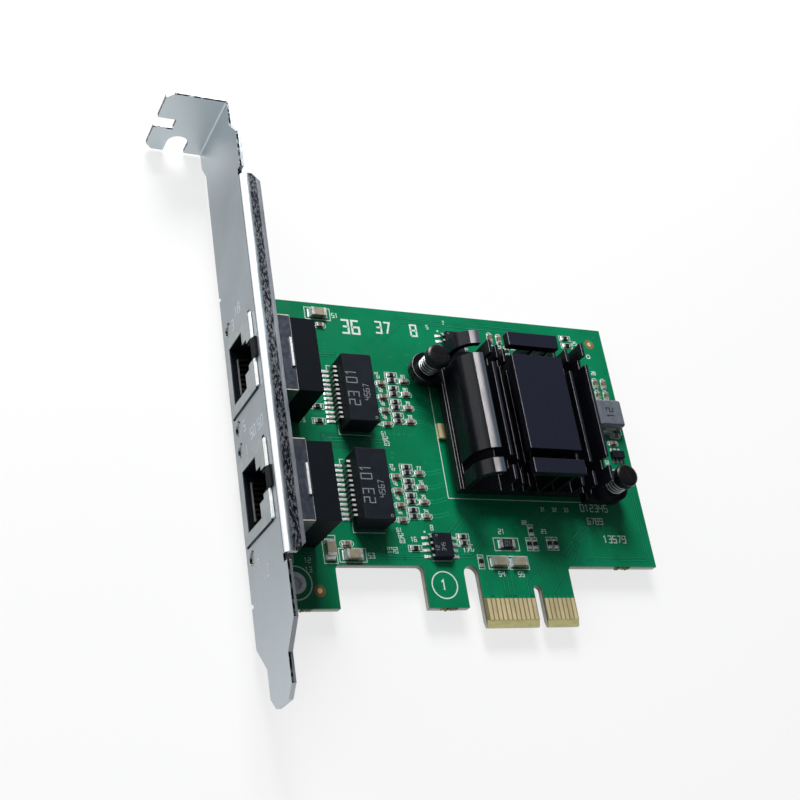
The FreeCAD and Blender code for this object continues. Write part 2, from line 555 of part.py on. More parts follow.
# --- jacks and lamps -------------------------------------------------------------------------
def make_jack(index):
    """A shielded eight-way jack: folded metal shield, moulded housing with its socket, spring wires."""
    number = index + 1
    centre = jack_centre(index)
    low = "%s - jack_width / 2" % centre
    latch_low = "socket_low + socket_height"
    key_low = latch_low + " + latch_height"
    hollows = [box("%s_%d" % (name, number), ("jack_front - overcut", "%s - %s / 2" % (centre, width), base),
                   ("socket_depth + overcut", width, height))
               for name, width, base, height in (
                   ("socket", "socket_width", "socket_low", "socket_height"),
                   ("latch", "latch_width", latch_low, "latch_height"),
                   ("latch_key", "latch_key_width", key_low, "latch_key_height"))]
    outer = box("shield_outer_%d" % number, ("jack_front", low, "0"),
                ("shield_depth", "jack_width", "jack_height"))
    inner = box("shield_inner_%d" % number,
                ("jack_front + shield_sheet", low + " + shield_sheet", "0 - overcut"),
                ("shield_depth", "jack_width - 2 * shield_sheet", "jack_height + overcut - shield_sheet"))
    notch = box("shield_notch_%d" % number,
                ("jack_front - latch_notch_depth", centre + " - latch_notch_width / 2", key_low),
                ("2 * latch_notch_depth", "latch_notch_width", "jack_height"))
    bar = box("shield_bar_%d" % number,
              ("jack_front + shield_depth - tab_bar_width", centre + " - tab_bar_length / 2",
               "jack_height - shield_sheet"),
              ("tab_bar_width", "tab_bar_length", "shield_sheet + tab_bar_height"))
    hood = cut("shield_hood_%d" % number, outer, [inner, notch] + hollows)
    keep(fuse("shield_%d" % number, [hood, bar]), "jack_%d_shield" % number)

    inset = "(shield_sheet + jack_gap)"
    block = box("housing_block_%d" % number, ("jack_front + " + inset, low + " + " + inset, "0"),
                ("housing_rear - jack_front - " + inset, "jack_width - 2 * " + inset,
                 "jack_height - " + inset))
    keep(cut("housing_%d" % number, block, hollows), "jack_%d_housing" % number)

    start, end = "jack_front + wire_start", "jack_front + wire_start + wire_run"
    points = [(start, "socket_low"), (end, "socket_low + wire_rise"),
              (end, "socket_low + wire_rise + wire_thickness"), (start, "socket_low + wire_thickness")]
    first = "%s - %d / 2 * wire_pitch - wire_width / 2" % (centre, int(SIZES["wire_count"]) - 1)
    row = strip("wire_row_%d" % number, points, first,
                "(wire_count - 1) * wire_pitch + wire_width")
    wires = comb("wires_%d" % number, row, int(SIZES["wire_count"]), first, "wire_pitch", "wire_width",
                 ("jack_front", "0"),
                 ("wire_start + wire_run + overcut", "socket_low + wire_rise + 2 * overcut"))
    keep(wires, "jack_%d_contacts" % number)


def make_lamps():
    """Right-angle lamps on the board whose round ends show in the bracket's holes."""
    lamps = []
    for index, place in enumerate(LAMPS):
        case = box("lamp_case_%d" % index, ("board_left + lamp_gap", "%s - lamp_body_width / 2" % place, "0"),
                   ("lamp_body_depth", "lamp_body_width", "lamp_body_height"))
        barrel = rod("lamp_barrel_%d" % index, ("sheet / 2", place, "lamp_height"), "lamp_radius",
                     "board_left + lamp_gap + lamp_body_depth / 2 - sheet / 2", (1, 0, 0))
        lamps.append(fuse("lamp_%d" % index, [case, barrel]))
    keep(group("status_lamps", lamps), "status_lamps")


# --- line transformers and chips -------------------------------------------------------------
def make_transformer(index):
    number = index + 1
    low = "transformer_low + %d * transformer_pitch" % index
    body = solid_block("transformer_%d" % number, ("transformer_left", low, "transformer_base"),
                       ("transformer_width", "transformer_length", "transformer_top - transformer_base"),
                       "transformer_edge")
    keep(body, "transformer_%d_body" % number)
    count = int(SIZES["lead_count"])
    row_low = low + " + lead_first"
    rows = [gull_wings("transformer_%d_leads_%s" % (number, side), face, sign, row_low, count, "lead_pitch",
                       "lead_width", "lead")
            for side, face, sign in (("left", "transformer_left", -1),
                                     ("right", "transformer_left + transformer_width", 1))]
    keep(group("transformer_leads_%d" % number, rows), "transformer_%d_leads" % number)


def make_small_outline_chip(name):
    x, y = name + "_x", name + "_y"
    body = solid_block(name + "_chip", (x + " - chip_width / 2", y + " - chip_length / 2", "chip_base"),
                       ("chip_width", "chip_length", "chip_top - chip_base"), "chip_taper")
    keep(body, name + "_chip_body")
    count = int(SIZES["chip_lead_count"])
    low = "%s - %d / 2 * chip_lead_pitch - chip_lead_width / 2" % (y, count - 1)
    rows = [gull_wings("%s_leads_%s" % (name, side), "%s %s chip_width / 2" % (x, sign), int(sign + "1"), low,
                       count, "chip_lead_pitch", "chip_lead_width", "chip_lead")
            for side, sign in (("left", "-"), ("right", "+"))]
    keep(group(name + "_leads", rows), name + "_chip_leads")


# --- controller, heat sink, push pins --------------------------------------------------------
def make_controller():
    corner = ["%s - controller_size / 2" % centre for centre in SINK_CENTRE]
    keep(box("controller", (corner[0], corner[1], "0"),
             ("controller_size", "controller_size", "controller_height")), "controller_chip")
    side = "controller_size - 2 * thermal_inset"
    keep(box("pad_block",
             (corner[0] + " + thermal_inset", corner[1] + " + thermal_inset", "controller_height"),
             (side, side, "sink_base_low - controller_height")), "thermal_pad")


def make_heat_sink():
    """An extruded sink: a curved hood at one side, low fins, a raised flat deck on legs, side fins."""
    base_height = "sink_base_top - sink_base_low"
    pieces = [box("sink_base", ("sink_left", "sink_front", "sink_base_low"),
                  ("sink_size", "sink_size", base_height))]
    for index, (x, y) in enumerate(PINS):
        web_x = x if index == 0 else "%s - ear_radius - pin_reach" % x
        pieces.append(rod("sink_ear_%d" % index, (x, y, "sink_base_low"), "ear_radius", base_height))
        pieces.append(box("sink_ear_web_%d" % index, (web_x, y + " - ear_radius", "sink_base_low"),
                          ("pin_reach + ear_radius", "2 * ear_radius", base_height)))
    hood_left = "sink_left + hood_offset"
    spring_line = "hood_top - hood_width"
    bars = [rod("hood_%s" % name, ("%s + hood_width" % hood_left, "sink_front", spring_line), radius,
                "sink_size", (0, 1, 0)) for name, radius in (("outer", "hood_width"),
                                                             ("inner", "hood_width - hood_wall"))]
    quarter = doc.addObject("Part::Common", "hood_quarter")
    quarter.Base = cut("hood_ring", bars[0], [bars[1]])
    quarter.Tool = box("hood_window", (hood_left, "sink_front", spring_line),
                       ("hood_width", "sink_size", "hood_width"))
    pieces.append(quarter)
    pieces.append(box("hood_wall", (hood_left, "sink_front", "sink_base_low"),
                      ("hood_wall", "sink_size", spring_line + " - sink_base_low")))
    fins = [("low_fin", "low_fin_top"), ("rib", "rib_top"), ("foot_rib", "foot_rib_top"),
            ("right_fin", "right_fin_top"), ("side_fin", "side_fin_top"),
            ("sink_size - fin_thickness", "edge_fin_top")]
    fins += [("leg_first + %d * leg_pitch" % index, "sink_top - deck_thickness / 2")
             for index in range(int(SIZES["leg_count"]))]
    for index, (offset, top) in enumerate(fins):
        pieces.append(box("fin_%d" % index, ("sink_left + " + offset, "sink_front", "sink_base_low"),
                          ("fin_thickness", "sink_size", top + " - sink_base_low")))
    pieces.append(box("deck", ("sink_left + deck_left", "sink_front", "sink_top - deck_thickness"),
                      ("deck_width", "sink_size", "deck_thickness")))
    whole = fuse("sink_whole", pieces)
    edge_fin = "sink_left + sink_size - fin_thickness"
    tools = []
    lows = ("sink_front + cut_offset", "sink_front + sink_size - cut_offset - cut_width")
    for index, low in enumerate(lows):
        tools.append(box("cross_cut_%d" % index,
                         ("sink_left + hood_offset - overcut", low, "sink_base_top + cut_floor"),
                         ("sink_size - fin_thickness - hood_offset + overcut", "cut_width", "sink_top")))
        tools.append(box("edge_notch_%d" % index, (edge_fin, low, "edge_fin_top - edge_notch"),
                         ("fin_thickness + overcut", "cut_width", "edge_notch + overcut")))
    tools += [rod("sink_pin_hole_%d" % index, (x, y, "0"), "pin_radius + pin_hole_gap / 2",
                  "sink_base_top + overcut")
              for index, (x, y) in enumerate(PINS)]
    keep(cut("sink", whole, tools), "heat_sink")


def make_push_pin(index):
    """A barbed pin through the sink's ear and the board, with the coil spring under its head."""
    x, y = PINS[index]
    number = index + 1
    under = "0 - board_thickness"
    pin = fuse("pin_%d" % number, [
        rod("pin_shaft_%d" % number, (x, y, under), "pin_radius", "pin_head_low + board_thickness"),
        cone("pin_barb_%d" % number, (x, y, under), "pin_barb_radius", "pin_radius / 2", "pin_barb_length",
             (0, 0, -1)),
        rod("pin_collar_%d" % number, (x, y, "pin_collar_low"), "pin_collar_radius",
            "pin_head_low - pin_collar_low"),
        rod("pin_head_%d" % number, (x, y, "pin_head_low"), "pin_head_radius",
            "pin_head_top - pin_head_low")])
    keep(pin, "push_pin_%d" % number)
    keep(make_spring("spring_%d" % number, x, y), "pin_spring_%d" % number)


def make_spring(name, x, y):
    """Wire wound upwards between the sink's ear and the pin's collar, as short bars with mitred joints."""
    radius, wire, turns = value("spring_radius"), value("spring_wire"), int(SIZES["spring_turns"])
    low = value("sink_base_top + spring_wire + spring_gap")
    rise = value("pin_collar_low - spring_wire - spring_gap") - low
    count = turns * int(SIZES["bars_per_turn"])
    points = []
    for index in range(count + 1):
        angle = 2 * math.pi * index / SIZES["bars_per_turn"]
        points.append(FreeCAD.Vector(radius * math.cos(angle), radius * math.sin(angle),
                                     rise * index / count))
    along = (points[1] - points[0]).normalize()
    turn = FreeCAD.Rotation(FreeCAD.Vector(0, 0, 1), along)
    sides = int(SIZES["wire_sides"])
    ring = [points[0] + turn.multVec(FreeCAD.Vector(wire * math.cos(2 * math.pi * side / sides),
                                                    wire * math.sin(2 * math.pi * side / sides), 0))
            for side in range(sides)]
    mitred = 1
    profile = Part.makePolygon(ring + ring[:1])
    coil = doc.addObject("Part::Feature", name)
    coil.Shape = Part.makePolygon(points).makePipeShell([profile], True, False, mitred)
    coil.Placement = FreeCAD.Placement(FreeCAD.Vector(value(x), value(y), low), FreeCAD.Rotation())
    return coil


# --- inductor and passives -------------------------------------------------------------------
def make_inductor():
    half = "inductor_size / 2"
    corner = ("inductor_x - " + half, "inductor_y - " + half, "inductor_base")
    size = ("inductor_size", "inductor_size", "inductor_height - inductor_base")
    keep(solid_block("inductor", corner, size, "inductor_edge"), "inductor_body")
    ends = []
    for side, low in (("low", "inductor_y - %s - terminal_wrap" % half), ("high", "inductor_y + " + half)):
        ends.append(box("terminal_wall_" + side, ("inductor_x - terminal_width / 2", low, "0"),
                        ("terminal_width", "terminal_wrap", "inductor_height / 2")))
    feet = [box("terminal_foot_" + side, ("inductor_x - terminal_width / 2", low, "0"),
                ("terminal_width", "inductor_size / 4", "inductor_base"))
            for side, low in (("low", "inductor_y - " + half), ("high", "inductor_y + inductor_size / 4"))]
    keep(group("terminals", [fuse("terminal_%d" % index, [ends[index], feet[index]]) for index in range(2)]),
         "inductor_terminals")


def array_parts():
    """The repeated groups of chip parts beside each transformer."""
    parts = []
    for block in range(2):
        for step in range(int(SIZES["array_count"])):
            low = "array_low + %d * transformer_pitch + %d * array_pitch" % (block, step)
            parts.append(("capacitor", "small", "array_left", low, "x"))
            parts.append(("resistor", "small", "array_middle", low + " + array_rise", "x"))
            parts.append(("resistor", "small", "array_middle", low + " + array_rise + array_pair", "x"))
            parts.append(("capacitor", "small", "array_right", low + " + array_rise", "x"))
    return parts


def make_passives():
    """Chip capacitors and resistors: a ceramic block with a plated cap at each end."""
    sizes = {"large": ("large_cap_length", "large_cap_width", "large_end_cap"),
             "sense": ("large_res_length", "large_res_width", "large_end_cap"),
             "medium": ("medium_part_length", "medium_part_width", "end_cap"),
             "small": ("small_part_length", "small_part_width", "end_cap")}
    heights = {"large_capacitor": "large_cap_height", "sense_resistor": "large_res_height",
               "capacitor": "capacitor_height", "resistor": "resistor_height"}
    blocks = {kind: [] for kind in heights}
    caps = []
    loose = [(kind, size, name + "_x", name + "_y", way) for name, kind, size, _, _, way in LOOSE_PARTS]
    for index, (kind, size, x, y, way) in enumerate(loose + array_parts()):
        length, width, cap = sizes[size]
        height = heights[kind]
        middle = "(%s - 2 * %s)" % (length, cap)

        def lay(name, along, across, run, span, low, tall):
            """A block placed by its start along the part and its side across it."""
            if way == "x":
                return box(name, ("%s + %s" % (x, along), "%s - (%s) / 2" % (y, across), low),
                           (run, span, tall))
            return box(name, ("%s - (%s) / 2" % (x, across), "%s + %s" % (y, along), low), (span, run, tall))

        blocks[kind].append(
            lay("ceramic_%d" % index, "0 - %s / 2" % middle, width, middle, width, "0", height))
        for end, start in (("a", "0 - %s / 2" % length), ("b", "%s / 2" % middle)):
            proud = width + " + 2 * end_cap_proud"
            caps.append(lay("end_cap_%s_%d" % (end, index), start, proud, cap, proud, "0",
                            height + " + end_cap_proud"))
    for kind, node in (("large_capacitor", "large_capacitors"), ("sense_resistor", "sense_resistor"),
                       ("capacitor", "chip_capacitors"), ("resistor", "chip_resistors")):
        keep(group(node + "_group", blocks[kind]), node)
    keep(group("end_caps", caps), "passive_end_caps")


def make_crystal():
    keep(box("crystal", ("sink_left + crystal_inset - crystal_width / 2",
                         "sink_front + crystal_rise - crystal_length / 2", "0"),
             ("crystal_width", "crystal_length", "crystal_height")), "crystal")


def make_transistor():
    half_length, half_width = "transistor_length / 2", "transistor_width / 2"
    keep(box("transistor", ("transistor_x - " + half_length, "transistor_y - " + half_width, "0"),
             ("transistor_length", "transistor_width", "transistor_height")), "switch_chip_body")
    leads = []
    for step in (-1, 0, 1):
        for side, low in (("low", "transistor_y - %s - transistor_lead_length" % half_width),
                          ("high", "transistor_y + " + half_width)):
            left = "transistor_x + %d * transistor_pitch - transistor_lead_width / 2" % step
            leads.append(box("transistor_lead_%s_%d" % (side, step + 1), (left, low, "0"),
                             ("transistor_lead_width", "transistor_lead_length", "lead_thickness")))
    keep(group("transistor_leads", leads), "switch_chip_leads")


def check_and_write():
    """Stops on any failed feature or bad solid, then writes one STEP file for each piece."""
    doc.recompute()
    failed = [o.Name for o in doc.Objects if "Invalid" in o.State or "Error" in o.State]
    if failed:
        raise RuntimeError("failed objects: " + ", ".join(failed))
    for piece in NODES:
        if piece.Shape.isNull() or not piece.Shape.isValid() or not piece.Shape.Solids:
            raise RuntimeError("bad shape: " + piece.Label)
    os.makedirs("parts", exist_ok=True)
    for piece in NODES:
        piece.Shape.exportStep("parts/%s.step" % piece.Label)
        print("%-24s solids %3d  volume %9.2f" % (piece.Label, len(piece.Shape.Solids), piece.Shape.Volume))


make_bracket()
make_board()
make_edge_contacts()
make_fixings()
for jack_index in range(int(SIZES["jack_count"])):
    make_jack(jack_index)
    make_transformer(jack_index)
make_lamps()
make_controller()
make_heat_sink()
for pin_index in range(len(PINS)):
    make_push_pin(pin_index)
for chip_name in ("memory", "regulator"):
    make_small_outline_chip(chip_name)
make_inductor()
make_passives()
make_crystal()
make_transistor()
check_and_write()
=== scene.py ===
"""Looks for the network interface card: finishes, solder, print, copper pattern, springs and studio."""
import math
import random

import bmesh
import bpy
from mathutils import Matrix, Vector

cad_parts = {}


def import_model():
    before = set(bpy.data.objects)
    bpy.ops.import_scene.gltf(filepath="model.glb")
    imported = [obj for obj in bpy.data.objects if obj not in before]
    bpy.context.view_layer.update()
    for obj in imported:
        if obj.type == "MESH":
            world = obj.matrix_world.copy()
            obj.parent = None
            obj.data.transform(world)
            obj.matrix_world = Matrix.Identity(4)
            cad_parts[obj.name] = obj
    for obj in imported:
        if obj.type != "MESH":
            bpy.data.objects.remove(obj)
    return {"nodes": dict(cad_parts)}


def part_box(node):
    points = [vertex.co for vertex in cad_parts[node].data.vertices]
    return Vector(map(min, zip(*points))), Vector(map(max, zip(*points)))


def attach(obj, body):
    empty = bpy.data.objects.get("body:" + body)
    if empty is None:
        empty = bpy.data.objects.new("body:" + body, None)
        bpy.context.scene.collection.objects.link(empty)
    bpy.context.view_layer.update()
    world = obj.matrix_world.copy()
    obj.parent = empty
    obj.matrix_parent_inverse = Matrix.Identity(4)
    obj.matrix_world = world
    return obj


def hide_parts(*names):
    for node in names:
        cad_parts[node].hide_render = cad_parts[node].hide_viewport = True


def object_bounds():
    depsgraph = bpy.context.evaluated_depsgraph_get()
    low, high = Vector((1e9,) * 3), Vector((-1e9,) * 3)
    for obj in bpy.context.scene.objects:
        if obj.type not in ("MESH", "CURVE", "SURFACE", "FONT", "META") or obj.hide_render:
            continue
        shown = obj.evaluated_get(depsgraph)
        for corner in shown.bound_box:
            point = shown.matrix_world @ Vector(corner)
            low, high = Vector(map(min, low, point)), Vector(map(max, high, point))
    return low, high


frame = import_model()
cad_low, cad_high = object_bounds()

MM = 0.001
NODES = frame["nodes"]
PRINT_HEIGHT = 0.03
COPPER_HEIGHT = 0.02
SOLDER_PAD_HEIGHT = 0.035


def box_mm(name):
    """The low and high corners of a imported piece, in millimetres."""
    return [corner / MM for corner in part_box(name)]


BOARD_BACK, BOARD_TOP = (corner.z for corner in box_mm("circuit_board"))
BRACKET_TOP = box_mm("bracket")[1].y
HOOD_EDGE = box_mm("controller_chip")[0].x + 0.3
FINGER_TOP = box_mm("edge_contacts")[1].y + 0.05
TONGUE_RIGHT = box_mm("edge_contacts")[0].x - 1.5


# --- procedural finishes ---------------------------------------------------------------------
class Graph:
    """A node tree under construction, with short calls for the nodes that finishes and studio share."""

    def __init__(self, owner):
        owner.use_nodes = True
        self.tree = owner.node_tree

    def node(self, kind, **settings):
        made = self.tree.nodes.new(kind)
        for key, setting in settings.items():
            setattr(made, key, setting)
        return made

    def link(self, source, target):
        self.tree.links.new(source, target)

    def math(self, operation, first, second=0.0):
        made = self.node("ShaderNodeMath", operation=operation)
        for socket, item in zip(made.inputs, (first, second)):
            if isinstance(item, (int, float)):
                socket.default_value = item
            else:
                self.link(item, socket)
        return made.outputs["Value"]

    def times(self, product, *others):
        for other in others:
            product = self.math("MULTIPLY", product, other)
        return product

    def most(self, first, second):
        return self.math("MAXIMUM", first, second)

    def over(self, source, limit):
        """1 where the source is above the limit, and 0 elsewhere."""
        return self.math("GREATER_THAN", source, limit)

    def under(self, source, limit):
        return self.math("LESS_THAN", source, limit)

    def ramp(self, source, low=0.0, high=1.0, start=0.3, end=0.7):
        """The source mapped smoothly from start..end to low..high and held there outside it."""
        made = self.node("ShaderNodeMapRange", interpolation_type="SMOOTHSTEP")
        self.link(source, made.inputs["Value"])
        for key, number in (("From Min", start), ("From Max", end), ("To Min", low), ("To Max", high)):
            made.inputs[key].default_value = number
        return made.outputs["Result"]

    def rise(self, source, start, end):
        return self.ramp(source, 0.0, 1.0, start, end)

    def fall(self, source, start, end):
        return self.ramp(source, 1.0, 0.0, start, end)

    def mix(self, fac, first, second):
        """A colour between first and second, either of which may be a colour or a socket."""
        made = self.node("ShaderNodeMix", data_type="RGBA")
        sockets = {socket.identifier: socket for socket in made.inputs}
        for key, item in (("Factor_Float", fac), ("A_Color", first), ("B_Color", second)):
            if isinstance(item, bpy.types.NodeSocket):
                self.link(item, sockets[key])
            else:
                sockets[key].default_value = (*item, 1)
        return [s for s in made.outputs if s.identifier == "Result_Color"][0]

    def part(self, index, source):
        """One coordinate of a vector."""
        made = self.node("ShaderNodeSeparateXYZ")
        self.link(source, made.inputs[0])
        return made.outputs[index]


class Shade(Graph):
    """A material under construction round one shader."""

    def __init__(self, name):
        self.material = bpy.data.materials.new(name)
        super().__init__(self.material)
        self.tree.nodes.clear()
        output = self.node("ShaderNodeOutputMaterial")
        self.surface = self.node("ShaderNodeBsdfPrincipled")
        self.link(self.surface.outputs["BSDF"], output.inputs["Surface"])
        self.place = self.node("ShaderNodeTexCoord").outputs["Object"]
        self.normal = self.node("ShaderNodeNewGeometry").outputs["Normal"]

    def set(self, **values):
        """Constants on the shader's own sockets, named with underscores for spaces."""
        for key, number in values.items():
            self.surface.inputs[key.replace("_", " ")].default_value = number

    def noise(self, size_mm, detail=4.0, stretch=(1, 1, 1), roughness=0.55):
        """Noise whose features are about size_mm across, longer along an axis that is stretched."""
        mapping = self.node("ShaderNodeMapping")
        mapping.inputs["Scale"].default_value = [1 / (size_mm * MM * s) for s in stretch]
        self.link(self.place, mapping.inputs["Vector"])
        made = self.node("ShaderNodeTexNoise")
        for key, number in (("Scale", 1.0), ("Detail", detail), ("Roughness", roughness)):
            made.inputs[key].default_value = number
        self.link(mapping.outputs["Vector"], made.inputs["Vector"])
        return made.outputs["Fac"]

    def axis(self, index):
        """One coordinate of the place, in metres."""
        return self.part(index, self.place)

    def facing(self, index):
        """The normal's part along one axis."""
        return self.part(index, self.normal)

    def rounded(self, radius_mm, samples=6):
        """The normal as it would be with every edge rounded by a radius."""
        made = self.node("ShaderNodeBevel", samples=samples)
        made.inputs["Radius"].default_value = radius_mm * MM
        return made.outputs["Normal"]

    def edge(self, radius_mm, start=0.02, end=0.2):
        """1 along sharp edges and 0 on flat faces: how far a rounded normal leaves the face's own."""
        dot = self.node("ShaderNodeVectorMath", operation="DOT_PRODUCT")
        self.link(self.rounded(radius_mm), dot.inputs[0])
        self.link(self.normal, dot.inputs[1])
        return self.rise(self.math("SUBTRACT", 1.0, dot.outputs["Value"]), start, end)

    def relief(self, height, depth_mm, bevel_mm=0.0):
        """Bump from a height socket, over edges softened by a small radius."""
        bump = self.node("ShaderNodeBump")
        bump.inputs["Distance"].default_value = depth_mm * MM
        self.link(height, bump.inputs["Height"])
        if bevel_mm:
            self.link(self.rounded(bevel_mm), bump.inputs["Normal"])
        self.link(bump.outputs["Normal"], self.surface.inputs["Normal"])

    def colour(self, source):
        self.link(source, self.surface.inputs["Base Color"])

    def rough(self, source):
        self.link(source, self.surface.inputs["Roughness"])


def shaded(colour, amount):
    return tuple(min(1.0, part * amount) for part in colour)


def finish(name, colour, metallic=0.0, rough=(0.35, 0.5), patch_mm=1.5, vary=0.12, grain_mm=0.12,
           depth_mm=0.01, stretch=(1, 1, 1), bevel_mm=0.05, wear_and_highlight=None, worn_mm=0.08, **constants):
    """A finish with uneven colour, uneven gloss, fine relief, softened edges and, if asked, pale edges from
    wear.
    """
    shade = Shade(name)
    patches = shade.noise(patch_mm, stretch=stretch)
    body = shade.mix(shade.ramp(patches), shaded(colour, 1 - vary), shaded(colour, 1 + vary))
    if wear_and_highlight:
        wear = shade.times(shade.edge(worn_mm), shade.ramp(shade.noise(2.5), 0.35))
        body = shade.mix(wear, body, wear_and_highlight)
    shade.colour(body)
    grain = shade.noise(grain_mm, stretch=stretch)
    shade.rough(shade.ramp(shade.math("ADD", shade.times(grain, 0.4), shade.times(patches, 0.6)), *rough))
    shade.relief(grain, depth_mm, bevel_mm)
    shade.set(Metallic=metallic, **constants)
    return shade.material


def mask_finish():
    """Glossy green solder mask over copper, with bare laminate on the edges and round the fingers."""
    shade = Shade("solder_mask")
    fibre = shade.ramp(shade.noise(0.25, stretch=(6, 6, 1)))
    burr_and_painted_shade = shade.mix(fibre, (0.09, 0.085, 0.05), (0.03, 0.06, 0.03))
    glass = shade.mix(fibre, (0.5, 0.5, 0.42), (0.38, 0.4, 0.33))
    cut = shade.mix(shade.rise(shade.axis(2), -0.62 * MM, -0.4 * MM), glass, burr_and_painted_shade)
    bevel = shade.mix(fibre, (0.74, 0.66, 0.32), (0.6, 0.56, 0.25))
    around = shade.mix(fibre, (0.24, 0.2, 0.1), (0.17, 0.16, 0.08))
    cloud = shade.rise(shade.noise(14, detail=2), 0.35, 0.65)
    green = shade.mix(cloud, (0.001, 0.178, 0.072), (0.0014, 0.215, 0.092))
    weave = shade.ramp(shade.noise(0.5, detail=2))
    green = shade.mix(shade.times(weave, 0.1), green, (0.003, 0.25, 0.12))
    flat = shade.over(shade.math("ABSOLUTE", shade.facing(2)), 0.5)
    above = shade.over(shade.axis(1), FINGER_TOP * MM)
    beside = shade.under(shade.axis(0), TONGUE_RIGHT * MM)
    fingers = shade.math("SUBTRACT", 1.0, shade.most(above, beside))
    bare = shade.mix(flat, cut, around)
    bare = shade.mix(shade.times(fingers, shade.under(shade.facing(1), -0.3)), bare, bevel)
    masked = shade.times(flat, shade.math("SUBTRACT", 1.0, fingers))
    shade.colour(shade.mix(masked, bare, green))
    shade.rough(shade.ramp(shade.noise(3), 0.26, 0.36))
    shade.relief(shade.noise(0.6, detail=3), 0.004)
    shade.set(Specular_IOR_Level=0.2, Coat_Weight=0.2, Coat_Roughness=0.12)
    return shade.material


def lead_finish():
    """Bent, tinned leads: bright on their level ends, with painted shade where they slope."""
    shade = Shade("bent_leads")
    patches = shade.ramp(shade.noise(0.6))
    bright = shade.mix(patches, (0.74, 0.75, 0.74), (0.86, 0.87, 0.86))
    # Painted shade: faces of the leads that slope are painted near black.
    shade.colour(shade.mix(shade.rise(shade.facing(2), 0.8, 0.96), (0.06, 0.065, 0.06), bright))
    shade.rough(shade.ramp(patches, 0.34, 0.5))
    shade.relief(shade.noise(0.12), 0.01)
    shade.set(Metallic=0.7)
    return shade.material


def steel_finish():
    """Zinc-plated steel: rolled grain along the sheet, a painted highlight on the bend, a mottled painted
    reflection on the flange, painted light at both ends and painted shade on the cut edges.
    """
    shade = Shade("plated_steel")
    x, y = shade.axis(0), shade.axis(1)
    outward, upward = shade.facing(0), shade.facing(2)
    level = shade.over(upward, 0.93)
    rolled = shade.noise(0.5, stretch=(1, 14, 1), roughness=0.7)
    cloud = shade.noise(9, detail=3)
    base = shade.mix(shade.ramp(cloud), (0.235, 0.275, 0.3), (0.3, 0.34, 0.37))
    base = shade.mix(shade.times(shade.ramp(rolled), 0.2), base, (0.42, 0.45, 0.47))
    # Painted light: the sheet is painted paler at both ends, below the jacks and up to the tab.
    painted_light_low_end = shade.ramp(y, 0.75, 0.0, -22 * MM, 26 * MM)
    pale = shade.most(painted_light_low_end, shade.ramp(y, 0.0, 0.9, 84 * MM, 103 * MM))
    base = shade.mix(pale, base, (0.56, 0.62, 0.65))
    # Painted highlight: the bend from the outer face to the flange is painted near white.
    bend = shade.times(shade.rise(upward, 0.12, 0.35), shade.fall(upward, 0.9, 0.985))
    base = shade.mix(bend, base, (0.78, 0.8, 0.82))
    # Painted reflection: the flange's face is painted dark in a mottled band, darker higher up the sheet.
    blotch = shade.rise(shade.noise(0.5, detail=5, stretch=(0.6, 1.7, 1), roughness=0.7), 0.4, 0.54)
    band = shade.times(shade.rise(x, 1.0 * MM, 1.7 * MM), shade.fall(x, 2.95 * MM, 3.15 * MM), level)
    high = shade.rise(y, 20 * MM, 80 * MM)
    flange_painted_reflection = shade.mix(high, (0.32, 0.34, 0.38), (0.1, 0.105, 0.115))
    base = shade.mix(band, base, shade.mix(blotch, flange_painted_reflection, (0.01, 0.012, 0.018)))
    # Painted reflection: the flange's outer rim is painted pale grey low on the sheet and darker higher up.
    rim = shade.times(level, shade.over(x, 3.1 * MM))
    base = shade.mix(rim, base, shade.mix(high, (0.5, 0.53, 0.57), (0.14, 0.15, 0.165)))
    # Painted shade: a dark line where the bend leaves the outer face.
    bend_painted_shade = shade.times(shade.rise(upward, 0.02, 0.06), shade.fall(upward, 0.16, 0.24),
                         shade.under(outward, -0.5), 0.8)
    base = shade.mix(bend_painted_shade, base, (0.04, 0.045, 0.05))
    # Painted shade: the sheet's cut edges beside its outer face, and faces turned outwards beyond it, are
    # painted near black in patches.
    cut = shade.times(level, shade.under(x, 1.0 * MM), shade.under(y, (BRACKET_TOP - 0.45) * MM),
                      shade.most(shade.under(x, 0.42 * MM), shade.over(y, BRACKET_TOP * MM)))
    ends = shade.times(shade.under(outward, -0.9), shade.under(x, -0.6 * MM))
    patchy = shade.ramp(shade.noise(0.9, detail=2), 0.6, 1.0, 0.4, 0.5)
    burr_and_painted_shade = shade.times(shade.most(cut, ends), patchy)
    wear_and_highlight = shade.times(shade.edge(0.16, 0.03, 0.3), 0.3)
    base = shade.mix(wear_and_highlight, base, (0.86, 0.87, 0.88))
    shade.colour(shade.mix(burr_and_painted_shade, base, (0.012, 0.013, 0.015)))
    shade.rough(shade.ramp(shade.math("ADD", shade.times(rolled, 0.5), shade.times(cloud, 0.5)), 0.32, 0.44))
    shade.relief(shade.math("ADD", rolled, shade.times(blotch, 0.6)), 0.008, 0.08)
    shade.set(Metallic=1.0, Anisotropic=0.3)
    return shade.material


def shield_finish():
    """Nickel-plated jack shield, painted as a reflection: walls and front painted bright, and the top painted
    dark slate.
    """
    shade = Shade("shield_nickel")
    cloud = shade.ramp(shade.noise(3, detail=3))
    bright = shade.mix(cloud, (0.25, 0.285, 0.295), (0.32, 0.35, 0.355))
    painted_dark_top = shade.mix(cloud, (0.09, 0.1, 0.13), (0.115, 0.13, 0.165))
    # Painted reflection: faces turned upwards take the dark slate tone, the walls and front the bright one.
    shade.colour(shade.mix(shade.rise(shade.facing(2), 0.8, 0.95), bright, painted_dark_top))
    shade.rough(shade.ramp(shade.noise(0.8), 0.28, 0.4))
    shade.relief(shade.noise(0.3), 0.003, 0.06)
    shade.set(Metallic=0.85)
    return shade.material


